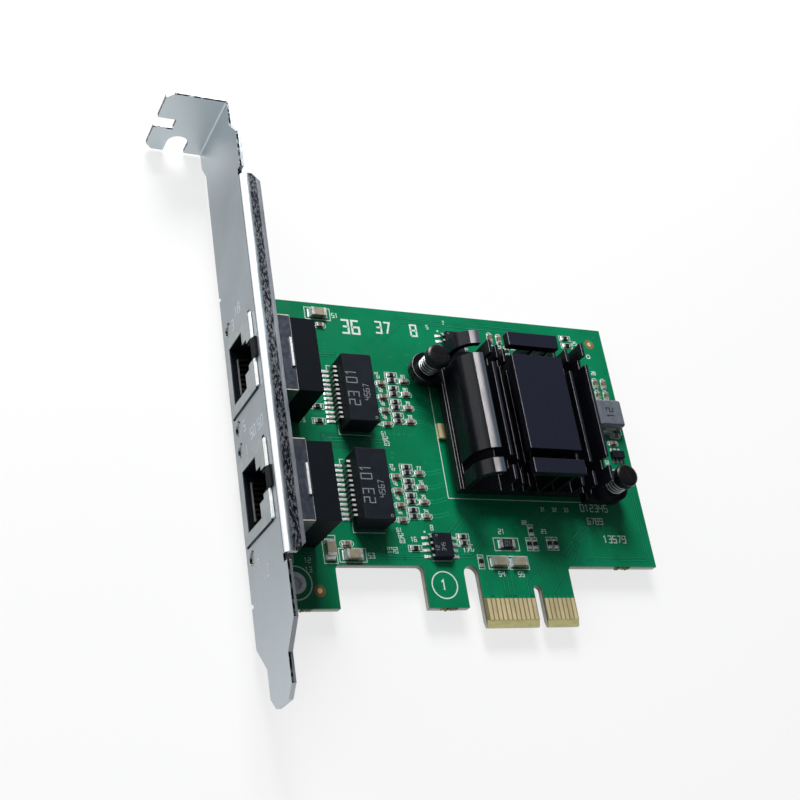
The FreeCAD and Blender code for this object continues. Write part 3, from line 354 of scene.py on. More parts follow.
def sink_finish():
    """Black anodised extrusion: drawn lines along the fins, painted light on the deck, and painted highlights
    on the hood's crest and the fins' edges.
    """
    shade = Shade("black_anodise")
    x, z, upward = shade.axis(0), shade.axis(2), shade.facing(2)
    drawn = shade.noise(0.16, stretch=(1, 40, 1), roughness=0.65)
    cloud = shade.ramp(shade.noise(6, detail=3))
    base = shade.mix(cloud, (0.0035, 0.004, 0.006), (0.0055, 0.006, 0.0095))
    # Painted light: the deck's level face is painted paler than the fins.
    deck_painted_light = shade.times(shade.rise(upward, 0.9, 0.995), shade.over(x, (HOOD_EDGE + 4) * MM),
                       shade.over(z, 8 * MM), 0.85)
    base = shade.mix(deck_painted_light, base, (0.0185, 0.0215, 0.037))
    # Painted highlight: the hood is painted paler towards its crest.
    hood_painted_highlight = shade.times(shade.rise(x, (HOOD_EDGE - 1.9) * MM, (HOOD_EDGE - 0.5) * MM),
                       shade.under(x, (HOOD_EDGE + 0.1) * MM), shade.over(upward, 0.6),
                       shade.rise(z, 9 * MM, 11 * MM), 0.8)
    base = shade.mix(hood_painted_highlight, base, (0.085, 0.105, 0.13))
    # Painted highlight: level tips are painted bright along the edge that faces the bracket.
    soft = shade.rounded(0.22, 8)
    sideways = shade.fall(shade.part(0, soft), -0.34, -0.12)
    lifted = shade.rise(shade.part(2, soft), 0.3, 0.5)
    thin = shade.ramp(shade.noise(1.6, stretch=(1, 5, 1)), 0.6)
    wear_and_highlight = shade.times(sideways, lifted, shade.over(upward, 0.9), thin)
    shade.colour(shade.mix(wear_and_highlight, base, (0.6, 0.57, 0.58)))
    shade.rough(shade.ramp(drawn, 0.22, 0.32))
    shade.relief(drawn, 0.004, 0.1)
    shade.set(Metallic=0.1, Specular_IOR_Level=0.22)
    return shade.material


def lamp_finish():
    """Clear, slightly green plastic."""
    shade = Shade("lamp_plastic")
    shade.colour(shade.mix(shade.ramp(shade.noise(1.2)), (0.62, 0.66, 0.6), (0.75, 0.78, 0.72)))
    shade.rough(shade.ramp(shade.noise(0.4), 0.12, 0.25))
    shade.relief(shade.noise(0.5), 0.01, 0.1)
    shade.set(Transmission_Weight=0.45, IOR=1.5)
    return shade.material


COVERED = {"rough": (0.26, 0.36), "patch_mm": 3, "depth_mm": 0.003, "bevel_mm": 0.0,
           "Specular_IOR_Level": 0.3, "Coat_Weight": 0.3, "Coat_Roughness": 0.12}
FINISHES = {
    "mask": mask_finish(),
    "steel": steel_finish(),
    "shield": shield_finish(),
    "sink": sink_finish(),
    "lamp": lamp_finish(),
    "lead": lead_finish(),
    "solder": finish("bright_solder", (0.9, 0.91, 0.9), 0.8, (0.34, 0.5), patch_mm=0.5, grain_mm=0.3,
                     depth_mm=0.02),
    "tin": finish("tinned_leads", (0.7, 0.71, 0.7), 0.85, (0.34, 0.5), patch_mm=0.6),
    # Painted shade: the jacks' gold contact wires are painted near black for the shade inside the jacks.
    "wire": finish("contact_wire_painted_shade", (0.03, 0.026, 0.02), 0.9, (0.3, 0.45), patch_mm=0.8),
    "guide": finish("dull_nickel", (0.3, 0.31, 0.31), 0.4, (0.4, 0.55), patch_mm=1.2),
    # Painted highlight for the jacks' side folds.
    "fold": finish("fold_painted_highlight", (0.78, 0.74, 0.6), 0.7, patch_mm=1.2),
    "pad": finish("tinned_pad", (0.88, 0.9, 0.88), 0.45, (0.4, 0.55), patch_mm=0.6, bevel_mm=0.0),
    "field": finish("bare_field", (0.0016, 0.15, 0.067), vary=0.06, **COVERED),
    "trace": finish("covered_copper", (0.006, 0.27, 0.135), vary=0.08, **COVERED),
    "gap": finish("covered_laminate", (0.0012, 0.1, 0.045), vary=0.08, **COVERED),
    "gold": finish("gold_plate", (0.84, 0.7, 0.4), 0.55, (0.42, 0.56), patch_mm=1.4, vary=0.09, grain_mm=0.1,
                   depth_mm=0.006, stretch=(1, 4, 1), bevel_mm=0.03),
    "nickel": finish("nickel_plate", (0.72, 0.72, 0.7), 0.9, (0.32, 0.46), patch_mm=1.2),
    "moulding": finish("black_moulding", (0.0042, 0.0062, 0.0095), 0.0, (0.55, 0.7), grain_mm=0.08,
                       depth_mm=0.008, bevel_mm=0.12, Specular_IOR_Level=0.08),
    "epoxy": finish("package_epoxy", (0.009, 0.0125, 0.019), 0.0, (0.52, 0.68), patch_mm=2.5, vary=0.16,
                    grain_mm=0.07, depth_mm=0.012, bevel_mm=0.12, wear_and_highlight=(0.12, 0.13, 0.14), worn_mm=0.12,
                    Specular_IOR_Level=0.12),
    "pin": finish("pin_plastic", (0.005, 0.005, 0.0065), 0.0, (0.24, 0.36), bevel_mm=0.1,
                  Specular_IOR_Level=0.4),
    "spring": finish("spring_wire", (0.56, 0.56, 0.57), 1.0, (0.26, 0.4), patch_mm=0.8, bevel_mm=0.0),
    "thermal": finish("thermal_pad", (0.36, 0.37, 0.4), 0.0, (0.7, 0.85)),
    "ferrite": finish("coated_ferrite", (0.125, 0.145, 0.17), 0.0, (0.42, 0.6), patch_mm=1.2, grain_mm=0.1,
                      depth_mm=0.02, bevel_mm=0.15, wear_and_highlight=(0.34, 0.35, 0.36), worn_mm=0.15),
    "ceramic": finish("tan_ceramic", (0.3, 0.27, 0.19), 0.0, (0.4, 0.55), patch_mm=0.9, bevel_mm=0.08),
    "small_ceramic": finish("brown_ceramic", (0.2, 0.135, 0.085), 0.0, (0.4, 0.55), patch_mm=0.5),
    "glaze": finish("black_glaze", (0.012, 0.013, 0.016), 0.0, (0.25, 0.4), patch_mm=0.8),
    "print": finish("white_print", (0.66, 0.76, 0.7), 0.0, (0.55, 0.75), patch_mm=0.4, vary=0.1, grain_mm=0.1,
                    bevel_mm=0.0),
    "chip_print": finish("grey_print", (0.2, 0.22, 0.23), 0.0, (0.6, 0.8), patch_mm=0.3, vary=0.2,
                         bevel_mm=0.0),
    "stamp": finish("stamped_steel", (0.52, 0.55, 0.57), 1.0, (0.3, 0.45), patch_mm=0.4, vary=0.15,
                    bevel_mm=0.0),
    "bare_copper": finish("bare_copper_ring", (0.3, 0.16, 0.06), 0.3, (0.4, 0.6), patch_mm=0.5, bevel_mm=0.0),
    "laminate": finish("cut_laminate", (0.36, 0.31, 0.15), 0.0, (0.7, 0.9), patch_mm=0.4, vary=0.3,
                       grain_mm=0.1, depth_mm=0.05),
}
NODE_FINISH = {
    "bracket": "steel", "circuit_board": "mask", "edge_contacts": "gold", "board_inserts": "solder",
    "bracket_screws": "nickel", "jack_1_shield": "shield", "jack_2_shield": "shield",
    "jack_1_housing": "moulding", "jack_2_housing": "moulding", "jack_1_contacts": "wire",
    "jack_2_contacts": "wire", "status_lamps": "lamp", "transformer_1_body": "epoxy",
    "transformer_2_body": "epoxy", "transformer_1_leads": "lead", "transformer_2_leads": "lead",
    "controller_chip": "epoxy", "thermal_pad": "thermal", "heat_sink": "sink", "push_pin_1": "pin",
    "push_pin_2": "pin", "pin_spring_1": "spring", "pin_spring_2": "spring", "memory_chip_body": "epoxy",
    "memory_chip_leads": "lead", "regulator_chip_body": "epoxy", "regulator_chip_leads": "lead",
    "inductor_body": "ferrite", "inductor_terminals": "tin", "large_capacitors": "ceramic",
    "sense_resistor": "glaze", "chip_capacitors": "small_ceramic", "chip_resistors": "glaze",
    "passive_end_caps": "tin", "crystal": "gold", "switch_chip_body": "epoxy", "switch_chip_leads": "tin",
}


def dress_frame():
    """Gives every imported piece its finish."""
    for name, node in NODES.items():
        node.data.materials.clear()
        node.data.materials.append(FINISHES[NODE_FINISH[name]])


# --- mesh helpers ----------------------------------------------------------------------------
def metres(x, y, z):
    return Vector((x, y, z)) * MM


def place_object(name, data):
    made = bpy.data.objects.new(name, data)
    bpy.context.scene.collection.objects.link(made)
    return made


def piece(name, mesh, look, smooth_deg=None):
    """An object made from a bmesh, riding with the card and wearing a finish."""
    data = bpy.data.meshes.new(name)
    bmesh.ops.recalc_face_normals(mesh, faces=mesh.faces)
    mesh.to_mesh(data)
    mesh.free()
    made = place_object(name, data)
    data.materials.append(FINISHES[look])
    if smooth_deg is not None:
        data.shade_smooth()
        data.set_sharp_from_angle(angle=math.radians(smooth_deg))
    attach(made, "root")
    return made


def centre_of(low, high):
    return (low + high) / 2


def sides(mesh, first, second):
    """Faces all round between two rings of as many points."""
    for index in range(len(first)):
        after = (index + 1) % len(first)
        mesh.faces.new((first[index], first[after], second[after], second[index]))


def prism(mesh, corners, low, high):
    """A flat shape with upright sides between two heights."""
    top = [mesh.verts.new(metres(x, y, high)) for x, y in corners]
    bottom = [mesh.verts.new(metres(x, y, low)) for x, y in corners]
    mesh.faces.new(top)
    mesh.faces.new(bottom[::-1])
    sides(mesh, bottom, top)


def rectangle(x, y, width, length):
    return [(x - width / 2, y - length / 2), (x + width / 2, y - length / 2),
            (x + width / 2, y + length / 2), (x - width / 2, y + length / 2)]


def plate(mesh, x, y, width, length, height=SOLDER_PAD_HEIGHT):
    """A flat rectangle that stands on the board's face."""
    prism(mesh, rectangle(x, y, width, length), BOARD_TOP, BOARD_TOP + height)


def arc(x, y, radius, start, end, steps):
    """Points along a circle between two angles in degrees."""
    angles = [math.radians(start + (end - start) * k / steps) for k in range(steps + 1)]
    return [(x + radius * math.cos(angle), y + radius * math.sin(angle)) for angle in angles]


def line(mesh, points, width, low, high, closed=False, place=None):
    """A flat line of even width along points, mitred at its corners."""
    place = place or metres
    points = [Vector(point) for point in points]
    count = len(points)
    left, right = [], []
    for index, point in enumerate(points):
        before = points[index - 1] if index or closed else None
        after = points[(index + 1) % count] if index + 1 < count or closed else None
        ways = [w.normalized() for w in ((point - before) if before is not None else None,
                                         (after - point) if after is not None else None) if w is not None]
        way = (ways[0] + ways[-1]).normalized()
        side = Vector((-way.y, way.x))
        stretch = width / 2 / max(0.5, side.dot(Vector((-ways[0].y, ways[0].x))))
        left.append(point + side * stretch)
        right.append(point - side * stretch)
    for first in range(count if closed else count - 1):
        second = (first + 1) % count
        quad = (left[first], right[first], right[second], left[second])
        corners = [mesh.verts.new(place(*corner, z)) for z in (high, low) for corner in quad]
        mesh.faces.new(corners[:4])
        mesh.faces.new(corners[4:][::-1])
        mesh.faces.new((corners[0], corners[3], corners[7], corners[4]))
        mesh.faces.new((corners[1], corners[5], corners[6], corners[2]))
        if not closed and first == 0:
            mesh.faces.new((corners[0], corners[4], corners[5], corners[1]))
        if not closed and first == count - 2:
            mesh.faces.new((corners[3], corners[2], corners[6], corners[7]))


def stroke(mesh, points, width, height=PRINT_HEIGHT, closed=False):
    """A flat line that stands on the board's face."""
    line(mesh, points, width, BOARD_TOP, BOARD_TOP + height, closed)


def lathe(mesh, profile, place, steps=40, ribs=0, rib_mm=0.0, ribbed=()):
    """A turned shape: (radius, height) points round an upright axis, some with ribs round them."""
    rings = []
    for row, (radius, height) in enumerate(profile):
        ring = []
        for step in range(steps):
            angle = 2 * math.pi * step / steps
            bump = rib_mm * (0.5 + 0.5 * math.cos(ribs * angle)) if row in ribbed else 0.0
            ring.append(mesh.verts.new(place + metres((radius - bump) * math.cos(angle),
                                                      (radius - bump) * math.sin(angle), height)))
        rings.append(ring)
    for low, high in zip(rings, rings[1:]):
        sides(mesh, low, high)
    mesh.faces.new(rings[0][::-1])
    mesh.faces.new(rings[-1])


def islands(name):
    """The low and high corners, in mm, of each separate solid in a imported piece."""
    mesh = bmesh.new()
    mesh.from_mesh(NODES[name].data)
    bmesh.ops.remove_doubles(mesh, verts=mesh.verts, dist=1e-7)
    found, seen = [], set()
    for start in mesh.verts:
        if start in seen:
            continue
        seen.add(start)
        stack, members = [start], []
        while stack:
            vert = stack.pop()
            members.append(vert.co / MM)
            for edge in vert.link_edges:
                other = edge.other_vert(vert)
                if other not in seen:
                    seen.add(other)
                    stack.append(other)
        found.append((Vector(map(min, zip(*members))), Vector(map(max, zip(*members)))))
    mesh.free()
    return found


# --- solder ----------------------------------------------------------------------------------
LARGE_PARTS = ("large_capacitors", "sense_resistor")
CHIP_PARTS = LARGE_PARTS + ("chip_capacitors", "chip_resistors")
# Large parts left of here stand on wider pads.
WIDE_PADS_END = 45
HALF_PAD = SOLDER_PAD_HEIGHT * 0.5
PIN_PITCH = 1.27
# A through-hole joint's outline: across and down, as shares of its radius.
JOINT_OUTLINE = ((0.3, 1.1), (0.42, 0.95), (0.6, 0.45), (0.95, 0.12))


def cap_joint(mesh, low, high, way, reach, spread):
    """A pad under an end cap with solder drawn up the cap's outer face; way points outwards."""
    side = Vector((-way.y, way.x))
    centre = (low + high).to_2d() / 2
    half_run = abs((high - low).to_2d().dot(way)) / 2
    half_span = abs((high - low).to_2d().dot(side)) / 2 + spread
    face = centre + way * half_run
    height = (high.z - low.z) * 0.62
    steps = 5
    rows = []
    for step in range(steps + 1):
        t = step / steps
        span = half_span * (0.96 - 0.06 * t)
        at = face + way * (reach * t - 0.02)
        z = BOARD_TOP + SOLDER_PAD_HEIGHT * 0.6 + height * (1 - t) ** 2.2
        rows.append([mesh.verts.new(metres(*(at + side * span * s), z)) for s in (-1, -0.5, 0.5, 1)])
    for first, second in zip(rows, rows[1:]):
        for index in range(3):
            mesh.faces.new((first[index], first[index + 1], second[index + 1], second[index]))
    base = [mesh.verts.new(metres(*(face + way * u + side * half_span * s), BOARD_TOP))
            for u, s in ((-0.02, -1), (-0.02, 1), (reach - 0.02, 1), (reach - 0.02, -1))]
    mesh.faces.new(base)
    mesh.faces.new([row[0] for row in rows] + [base[3], base[0]])
    mesh.faces.new([row[-1] for row in rows[::-1]] + [base[1], base[2]])
    mesh.faces.new(rows[0][::-1] + [base[0], base[1]])
    mesh.faces.new(rows[-1] + [base[2], base[3]])
    pad_centre = face + way * (reach - 2 * half_run) / 2
    size = [abs(way.x) * (reach + 2 * half_run) + abs(side.x) * 2 * half_span,
            abs(way.y) * (reach + 2 * half_run) + abs(side.y) * 2 * half_span]
    plate(mesh, pad_centre.x, pad_centre.y, size[0] + 0.06, size[1] + 0.04, HALF_PAD)


def foot_joint(mesh, low, high, foot, outer, away):
    """A pad and a low mound of solder round a bent lead's foot, which lies at the outer end."""
    centre_y = (low.y + high.y) / 2
    width = high.y - low.y
    middle = outer - away * (foot / 2 - 0.1)
    plate(mesh, middle, centre_y, foot + 0.4, width + 0.22, HALF_PAD)
    bottom = rectangle(middle, centre_y, foot + 0.3, width + 0.16)
    crest = rectangle(middle, centre_y, foot - 0.05, width + 0.02)
    low_ring = [mesh.verts.new(metres(*corner, BOARD_TOP)) for corner in bottom]
    high_ring = [mesh.verts.new(metres(*corner, BOARD_TOP + 0.23)) for corner in crest]
    mesh.faces.new(high_ring)
    mesh.faces.new(low_ring[::-1])
    sides(mesh, low_ring, high_ring)


def lead_slope(mesh, low, high, outer, away, reach):
    """Solder that slopes from a bent lead's foot to the far end of its pad."""
    hump = outer - away * 0.35
    toe = hump + away * (reach + 0.3)
    hump_z, toe_z = BOARD_TOP + 0.24, BOARD_TOP + SOLDER_PAD_HEIGHT * 1.2
    corners = [(hump, low.y - 0.04, hump_z), (hump, high.y + 0.04, hump_z),
               (toe, high.y + 0.07, toe_z), (toe, low.y - 0.07, toe_z)]
    top = [mesh.verts.new(metres(*corner)) for corner in corners]
    bottom = [mesh.verts.new(metres(x, y, BOARD_TOP)) for x, y, _ in corners]
    mesh.faces.new(top)
    mesh.faces.new(bottom[::-1])
    sides(mesh, bottom, top)


def solder_chip_parts():
    """Joints on the end caps of every chip part, paired by the ceramic block between them."""
    mesh = bmesh.new()
    caps = islands("passive_end_caps")
    for name in CHIP_PARTS:
        for low, high in islands(name):
            middle = centre_of(low, high)
            for cap_low, cap_high in caps:
                offset = (centre_of(cap_low, cap_high) - middle).to_2d()
                touch = (cap_high - cap_low).to_2d() / 2 + (high - low).to_2d() / 2
                if abs(offset.x) > touch.x + 0.01 or abs(offset.y) > touch.y + 0.01:
                    continue
                way = Vector((math.copysign(1, offset.x), 0)) if abs(offset.x) > abs(offset.y) \
                    else Vector((0, math.copysign(1, offset.y)))
                wide_pad = name in LARGE_PARTS and cap_low.x < WIDE_PADS_END
                cap_joint(mesh, cap_low, cap_high, way, 0.5 if wide_pad else 0.22, 0.05 if wide_pad else 0.0)
    piece("chip_part_solder", mesh, "solder", 40)


def solder_leads():
    """Joints round the feet of the bent leads, and the long tinned pads that they stand on."""
    mesh, pads = bmesh.new(), bmesh.new()
    for name, foot, reach in (("transformer_1_leads", 1.2, 0.55), ("transformer_2_leads", 1.2, 0.55),
                              ("memory_chip_leads", 0.6, 0.75), ("regulator_chip_leads", 0.6, 0.75)):
        centre = centre_of(*box_mm(name))
        for low, high in islands(name):
            away = 1 if low.x > centre.x else -1
            outer = high.x if away > 0 else low.x
            foot_joint(mesh, low, high, foot, outer, away)
            plate(pads, outer + away * (reach - foot) / 2, (low.y + high.y) / 2, foot + reach,
                  high.y - low.y + 0.18)
            lead_slope(mesh, low, high, outer, away, reach)
    for low, high in islands("switch_chip_leads"):
        plate(mesh, (low.x + high.x) / 2, (low.y + high.y) / 2, 0.6, 1.1)
    for low, high in islands("inductor_terminals"):
        plate(mesh, (low.x + high.x) / 2, (low.y + high.y) / 2, 3.0, high.y - low.y + 0.4)
    piece("lead_solder", mesh, "solder", 50)
    piece("lead_pads", pads, "pad")


def solder_side():
    """Through-hole joints of the jacks and lamps on the back of the board."""
    mesh = bmesh.new()
    spots = []
    for jack in ("jack_1_housing", "jack_2_housing"):
        low, high = box_mm(jack)
        centre = (low.y + high.y) / 2
        for pin in range(8):
            spots.append((high.x - (2.4 if pin % 2 else 4.9), centre + (pin - 3.5) * PIN_PITCH, 0.62))
        for side in (-1, 1):
            spots.append((high.x - 6.6, centre + side * 7.4, 1.15))
            spots.append((high.x - 9.2, centre + side * 5.7, 1.5))
    for low, high in islands("status_lamps"):
        for side in (-1, 1):
            spots.append((high.x - 0.7, (low.y + high.y) / 2 + side * PIN_PITCH, 0.6))
    for x, y, radius in spots:
        outline = [(radius * across, BOARD_BACK - radius * down) for across, down in JOINT_OUTLINE]
        outline += [(radius * 1.15, BOARD_BACK - 0.02), (radius * 1.15, BOARD_BACK + 0.01)]
        lathe(mesh, outline, metres(x, y, 0), 16)
    piece("through_hole_joints", mesh, "solder", 45)


# --- white print -----------------------------------------------------------------------------
DIGITS = {
    "0": [[(0, 0), (0, 4), (2, 4), (2, 0), (0, 0)]],
    "1": [[(0.2, 3.2), (1, 4), (1, 0)]],
    "2": [[(0, 4), (2, 4), (2, 2), (0, 2), (0, 0), (2, 0)]],
    "3": [[(0, 4), (2, 4), (2, 0), (0, 0)], [(0.4, 2), (2, 2)]],
    "4": [[(0, 4), (0, 2), (2, 2)], [(2, 4), (2, 0)]],
    "5": [[(2, 4), (0, 4), (0, 2), (2, 2), (2, 0), (0, 0)]],
    "6": [[(2, 4), (0, 4), (0, 0), (2, 0), (2, 2), (0, 2)]],
    "7": [[(0, 4), (2, 4), (0.8, 0)]],
    "8": [[(0, 0), (0, 4), (2, 4), (2, 0), (0, 0)], [(0, 2), (2, 2)]],
    "9": [[(2, 2), (0, 2), (0, 4), (2, 4), (2, 0), (0, 0)]],
}


def numerals(mesh, text, x, y, height, turn=0, width=0.13, low=0.0, high=0.0, place=None):
    """Plain stroke numerals whose line of writing starts at x, y and is turned by some degrees."""
    unit = height / 4
    c, s = math.cos(math.radians(turn)), math.sin(math.radians(turn))
    for index, digit in enumerate(text):
        for stroke in DIGITS[digit]:
            points = []
            for across, up in stroke:
                u, v = (across + index * 3.1) * unit, up * unit
                points.append((x + c * u - s * v, y + s * u + c * v))
            line(mesh, points, width, low, high, place=place)


def board_number(mesh, text, x, y, height=1.0, turn=0):
    width = max(0.14, height * 0.15)
    numerals(mesh, text, x, y, height, turn, width, BOARD_TOP, BOARD_TOP + PRINT_HEIGHT)


def outline_box(mesh, low, high, margin, width=0.15, pill=False):
    """A printed frame round a part, with rounded ends where pill is set."""
    x0, y0, x1, y1 = low.x - margin[0], low.y - margin[1], high.x + margin[0], high.y + margin[1]
    radius = min(x1 - x0, y1 - y0) / 2
    x, y = (x0 + x1) / 2, (y0 + y1) / 2
    if not pill:
        points = [(x0, y0), (x1, y0), (x1, y1), (x0, y1)]
    elif x1 - x0 > y1 - y0:
        points = arc(x1 - radius, y, radius, -90, 90, 6) + arc(x0 + radius, y, radius, 90, 270, 6)
    else:
        points = arc(x, y1 - radius, radius, 0, 180, 6) + arc(x, y0 + radius, radius, 180, 360, 6)
    stroke(mesh, points, width, closed=True)


def ring(mesh, x, y, inner, outer, low, high, steps=40):
    """A flat ring with upright walls, or a disc where its inner radius is 0."""
    rows = [[mesh.verts.new(metres(x + r * math.cos(2 * math.pi * k / steps),
                                   y + r * math.sin(2 * math.pi * k / steps), z)) for k in range(steps)]
            for r, z in ((inner, low), (inner, high), (outer, high), (outer, low))]
    for first, second in zip(rows, rows[1:] + rows[:1]):
        sides(mesh, first, second)


# Plain numerals that count up: text, place, height and turn.
BOARD_NUMBERS = [
    ("1", 37.9, 7.3, 2.0, 0), ("12", 10.6, 12.6, 0.95, 0), ("13", 10.6, 10.8, 0.95, 0),
    ("14", 13.2, 44.4, 0.9, 0), ("15", 13.2, 41.2, 0.9, 0), ("16", 33.0, 17.0, 0.9, 0),
    ("17", 44.0, 14.9, 0.9, 0), ("8", 37.6, 19.4, 1.0, 0), ("19", 28.6, 14.6, 0.9, 90),
    ("20", 29.8, 14.6, 0.9, 90), ("21", 52.6, 18.9, 1.0, 0), ("22", 58.4, 21.0, 0.8, 0),
    ("23", 62.6, 19.2, 0.8, 0), ("24", 46.2, 15.2, 1.0, 90), ("25", 80.7, 63.9, 0.9, 0),
    ("26", 64.4, 61.4, 0.9, 0), ("7", 48.6, 66.0, 0.9, 0), ("28", 84.0, 56.8, 0.8, 0),
    ("29", 82.0, 40.6, 0.8, 90), ("30", 83.0, 35.0, 0.8, 90), ("31", 63.4, 24.0, 0.8, 0),
    ("32", 66.2, 24.0, 0.8, 0), ("33", 69.0, 24.0, 0.8, 0), ("4", 16.8, 60.2, 0.9, 0),
    ("5", 44.6, 64.6, 0.9, 0), ("36", 25.1, 61.9, 3.0, 0), ("37", 32.7, 62.6, 2.6, 0),
    ("8", 40.8, 62.6, 2.6, 0), ("012345", 73.2, 24.2, 1.5, 0), ("6789", 74.2, 21.4, 1.3, 0),
    ("13579", 77.2, 17.4, 1.5, 0),
]
# Each transformer has four lanes of small parts beside it, this far apart.
LANE_PITCH = 3.03


def print_chip_parts(mesh):
    """A frame round each chip part, and a numeral beside each large capacitor."""
    for name in CHIP_PARTS:
        large = name in LARGE_PARTS
        for number, (low, high) in enumerate(islands(name), 51):
            spread = 1.7 if low.x < WIDE_PADS_END or name == "sense_resistor" else 1.3
            along, across = (spread, 0.5) if large else (0.95, 0.22)
            margin = (along, across) if high.x - low.x > high.y - low.y else (across, along)
            outline_box(mesh, low, high, margin, 0.15 if large else 0.12, pill=name == "chip_capacitors")
            if name == "large_capacitors":
                beside = (high.x + 2.1, low.y + 0.3) if low.x < WIDE_PADS_END else (low.x + 0.6, low.y - 2.0)
                board_number(mesh, str(number), *beside)


def print_transformers(mesh):
    """Two corner marks round each transformer, and small numerals in rows beside it."""
    for index in (1, 2):
        low, high = box_mm("transformer_%d_leads" % index)
        body_low, body_high = box_mm("transformer_%d_body" % index)
        left, corner_x = low.x + 0.9, body_low.x - 0.25
        above, below = high.y + 1.2, body_low.y - 0.5
        stroke(mesh, [(left, high.y + 0.25), (left, above), (corner_x, above)], 0.16)
        stroke(mesh, [(corner_x, low.y - 0.4), (corner_x, below), (body_high.x, below)], 0.16)
        for step in range(4):
            y = body_low.y + 2.3 + step * LANE_PITCH
            count = index * 4 + step
            board_number(mesh, str(70 + count), 36.7, y + 1.5, 0.75)
            board_number(mesh, str(30 + count), 30.9, y + 1.9, 0.6)
            board_number(mesh, str(40 + count), 31.2, y + 1.1, 0.6)
        for row in range(3):
            board_number(mesh, str(61 + row), 30.3 + row * 0.15, body_low.y - 0.2 - row * 1.1, 0.8)


def print_board():
    """Part frames, corner marks, plain numerals and rings in white print."""
    mesh = bmesh.new()
    top = BOARD_TOP + PRINT_HEIGHT
    print_chip_parts(mesh)
    print_transformers(mesh)
    for name in ("memory_chip_body", "regulator_chip_body"):
        low, high = box_mm(name)
        for y in (high.y + 0.25, low.y - 0.25):
            stroke(mesh, [(low.x - 0.2, y), (high.x + 0.2, y)], 0.15)
        ring(mesh, low.x - 0.9, high.y + 0.7, 0.0, 0.22, BOARD_TOP, top, 14)
    chip_low, chip_high = box_mm("controller_chip")
    left, below = chip_low.x - 5.7, chip_low.y - 5.2
    stroke(mesh, [(left, chip_high.y + 6.0), (left, below), (chip_high.x + 9.5, below)], 0.16)
    for low, high in islands("board_inserts"):
        ring(mesh, (low.x + high.x) / 2, (low.y + high.y) / 2, 3.1, 3.35, BOARD_TOP, top)
    ring(mesh, 84.2, 61.3, 0.35, 0.55, BOARD_TOP, top, 20)
    ring(mesh, 38.6, 8.3, 2.55, 2.8, BOARD_TOP, top)
    outline_box(mesh, *box_mm("inductor_body"), (0.5, 0.7))
    for text, x, y, height, turn in BOARD_NUMBERS:
        board_number(mesh, text, x, y, height, turn)
    piece("white_print", mesh, "print")


# --- copper under the mask -------------------------------------------------------------------
# Runs of parallel copper lines: points of the first, how many, and the step to the next.
RUNS = [
    ([(31.2, 60.4), (37.4, 66.6), (66.5, 66.6)], 2, (1.4, -0.9)),
    ([(62.3, 20.3), (62.3, 15.3)], 2, (0.55, 0.1)),
    ([(60.3, 15.0), (60.6, 9.6), (61.7, 8.5)], 2, (0.6, 0.2)),
    ([(62.7, 14.6), (63.4, 12.0), (63.4, 9.4)], 2, (0.8, 0.1)),
    ([(65.9, 14.0), (66.2, 9.8), (63.4, 6.8), (63.4, 6.0)], 2, (-0.6, 0.4)),
    ([(66.3, 14.6), (71.7, 19.9)], 3, (0.75, -0.35)),
    ([(59.7, 11.5), (56.9, 9.2), (56.9, 6.0)], 2, (0.6, -0.2)),
    ([(62.2, 20.9), (66.0, 23.9)], 1, (0, 0)),
    ([(63.2, 18.4), (68.1, 23.2)], 1, (0, 0)),
    ([(48.55, 5.9), (48.55, 9.4), (47.0, 11.0)], 1, (0, 0)),
    ([(51.55, 5.9), (51.55, 10.8)], 3, (1.0, 0)),
    ([(42.3, 13.9), (46.0, 13.9), (49.6, 17.5), (49.6, 24.9)], 2, (-0.5, 0.6)),
    ([(42.3, 17.8), (46.6, 22.1), (46.6, 25.6)], 3, (-0.6, 0.55)),
    ([(35.4, 17.8), (32.4, 17.8), (31.0, 16.4), (31.0, 13.4)], 1, (0, 0)),
    ([(35.4, 14.0), (27.0, 14.0), (24.6, 16.4), (24.6, 18.6)], 2, (-0.6, -0.5)),
    ([(69.5, 12.9), (69.5, 18.0), (74.0, 22.5), (74.0, 25.0)], 3, (0.7, -0.2)),
    ([(72.0, 13.6), (86.6, 13.6), (87.4, 14.4), (87.4, 30.0)], 2, (-0.6, 0.6)),
    ([(80.6, 36.4), (78.6, 38.4), (78.6, 52.0), (80.6, 54.0)], 2, (0.6, 0)),
    ([(17.6, 61.4), (17.6, 57.4), (18.8, 56.2), (28.8, 56.2), (30.0, 57.4)], 2, (0.0, 0.55)),
    ([(5.2, 14.0), (12.8, 14.0)], 2, (0, 0.6)),
    ([(14.2, 34.0), (18.4, 38.2), (30.6, 38.2)], 2, (0, -0.6)),
]
# Places without copper, which show darker through the mask: centre and size.
BARE_FIELDS = [(21.8, 37.6, 9.6, 3.4), (29.6, 17.6, 1.6, 3.4)]


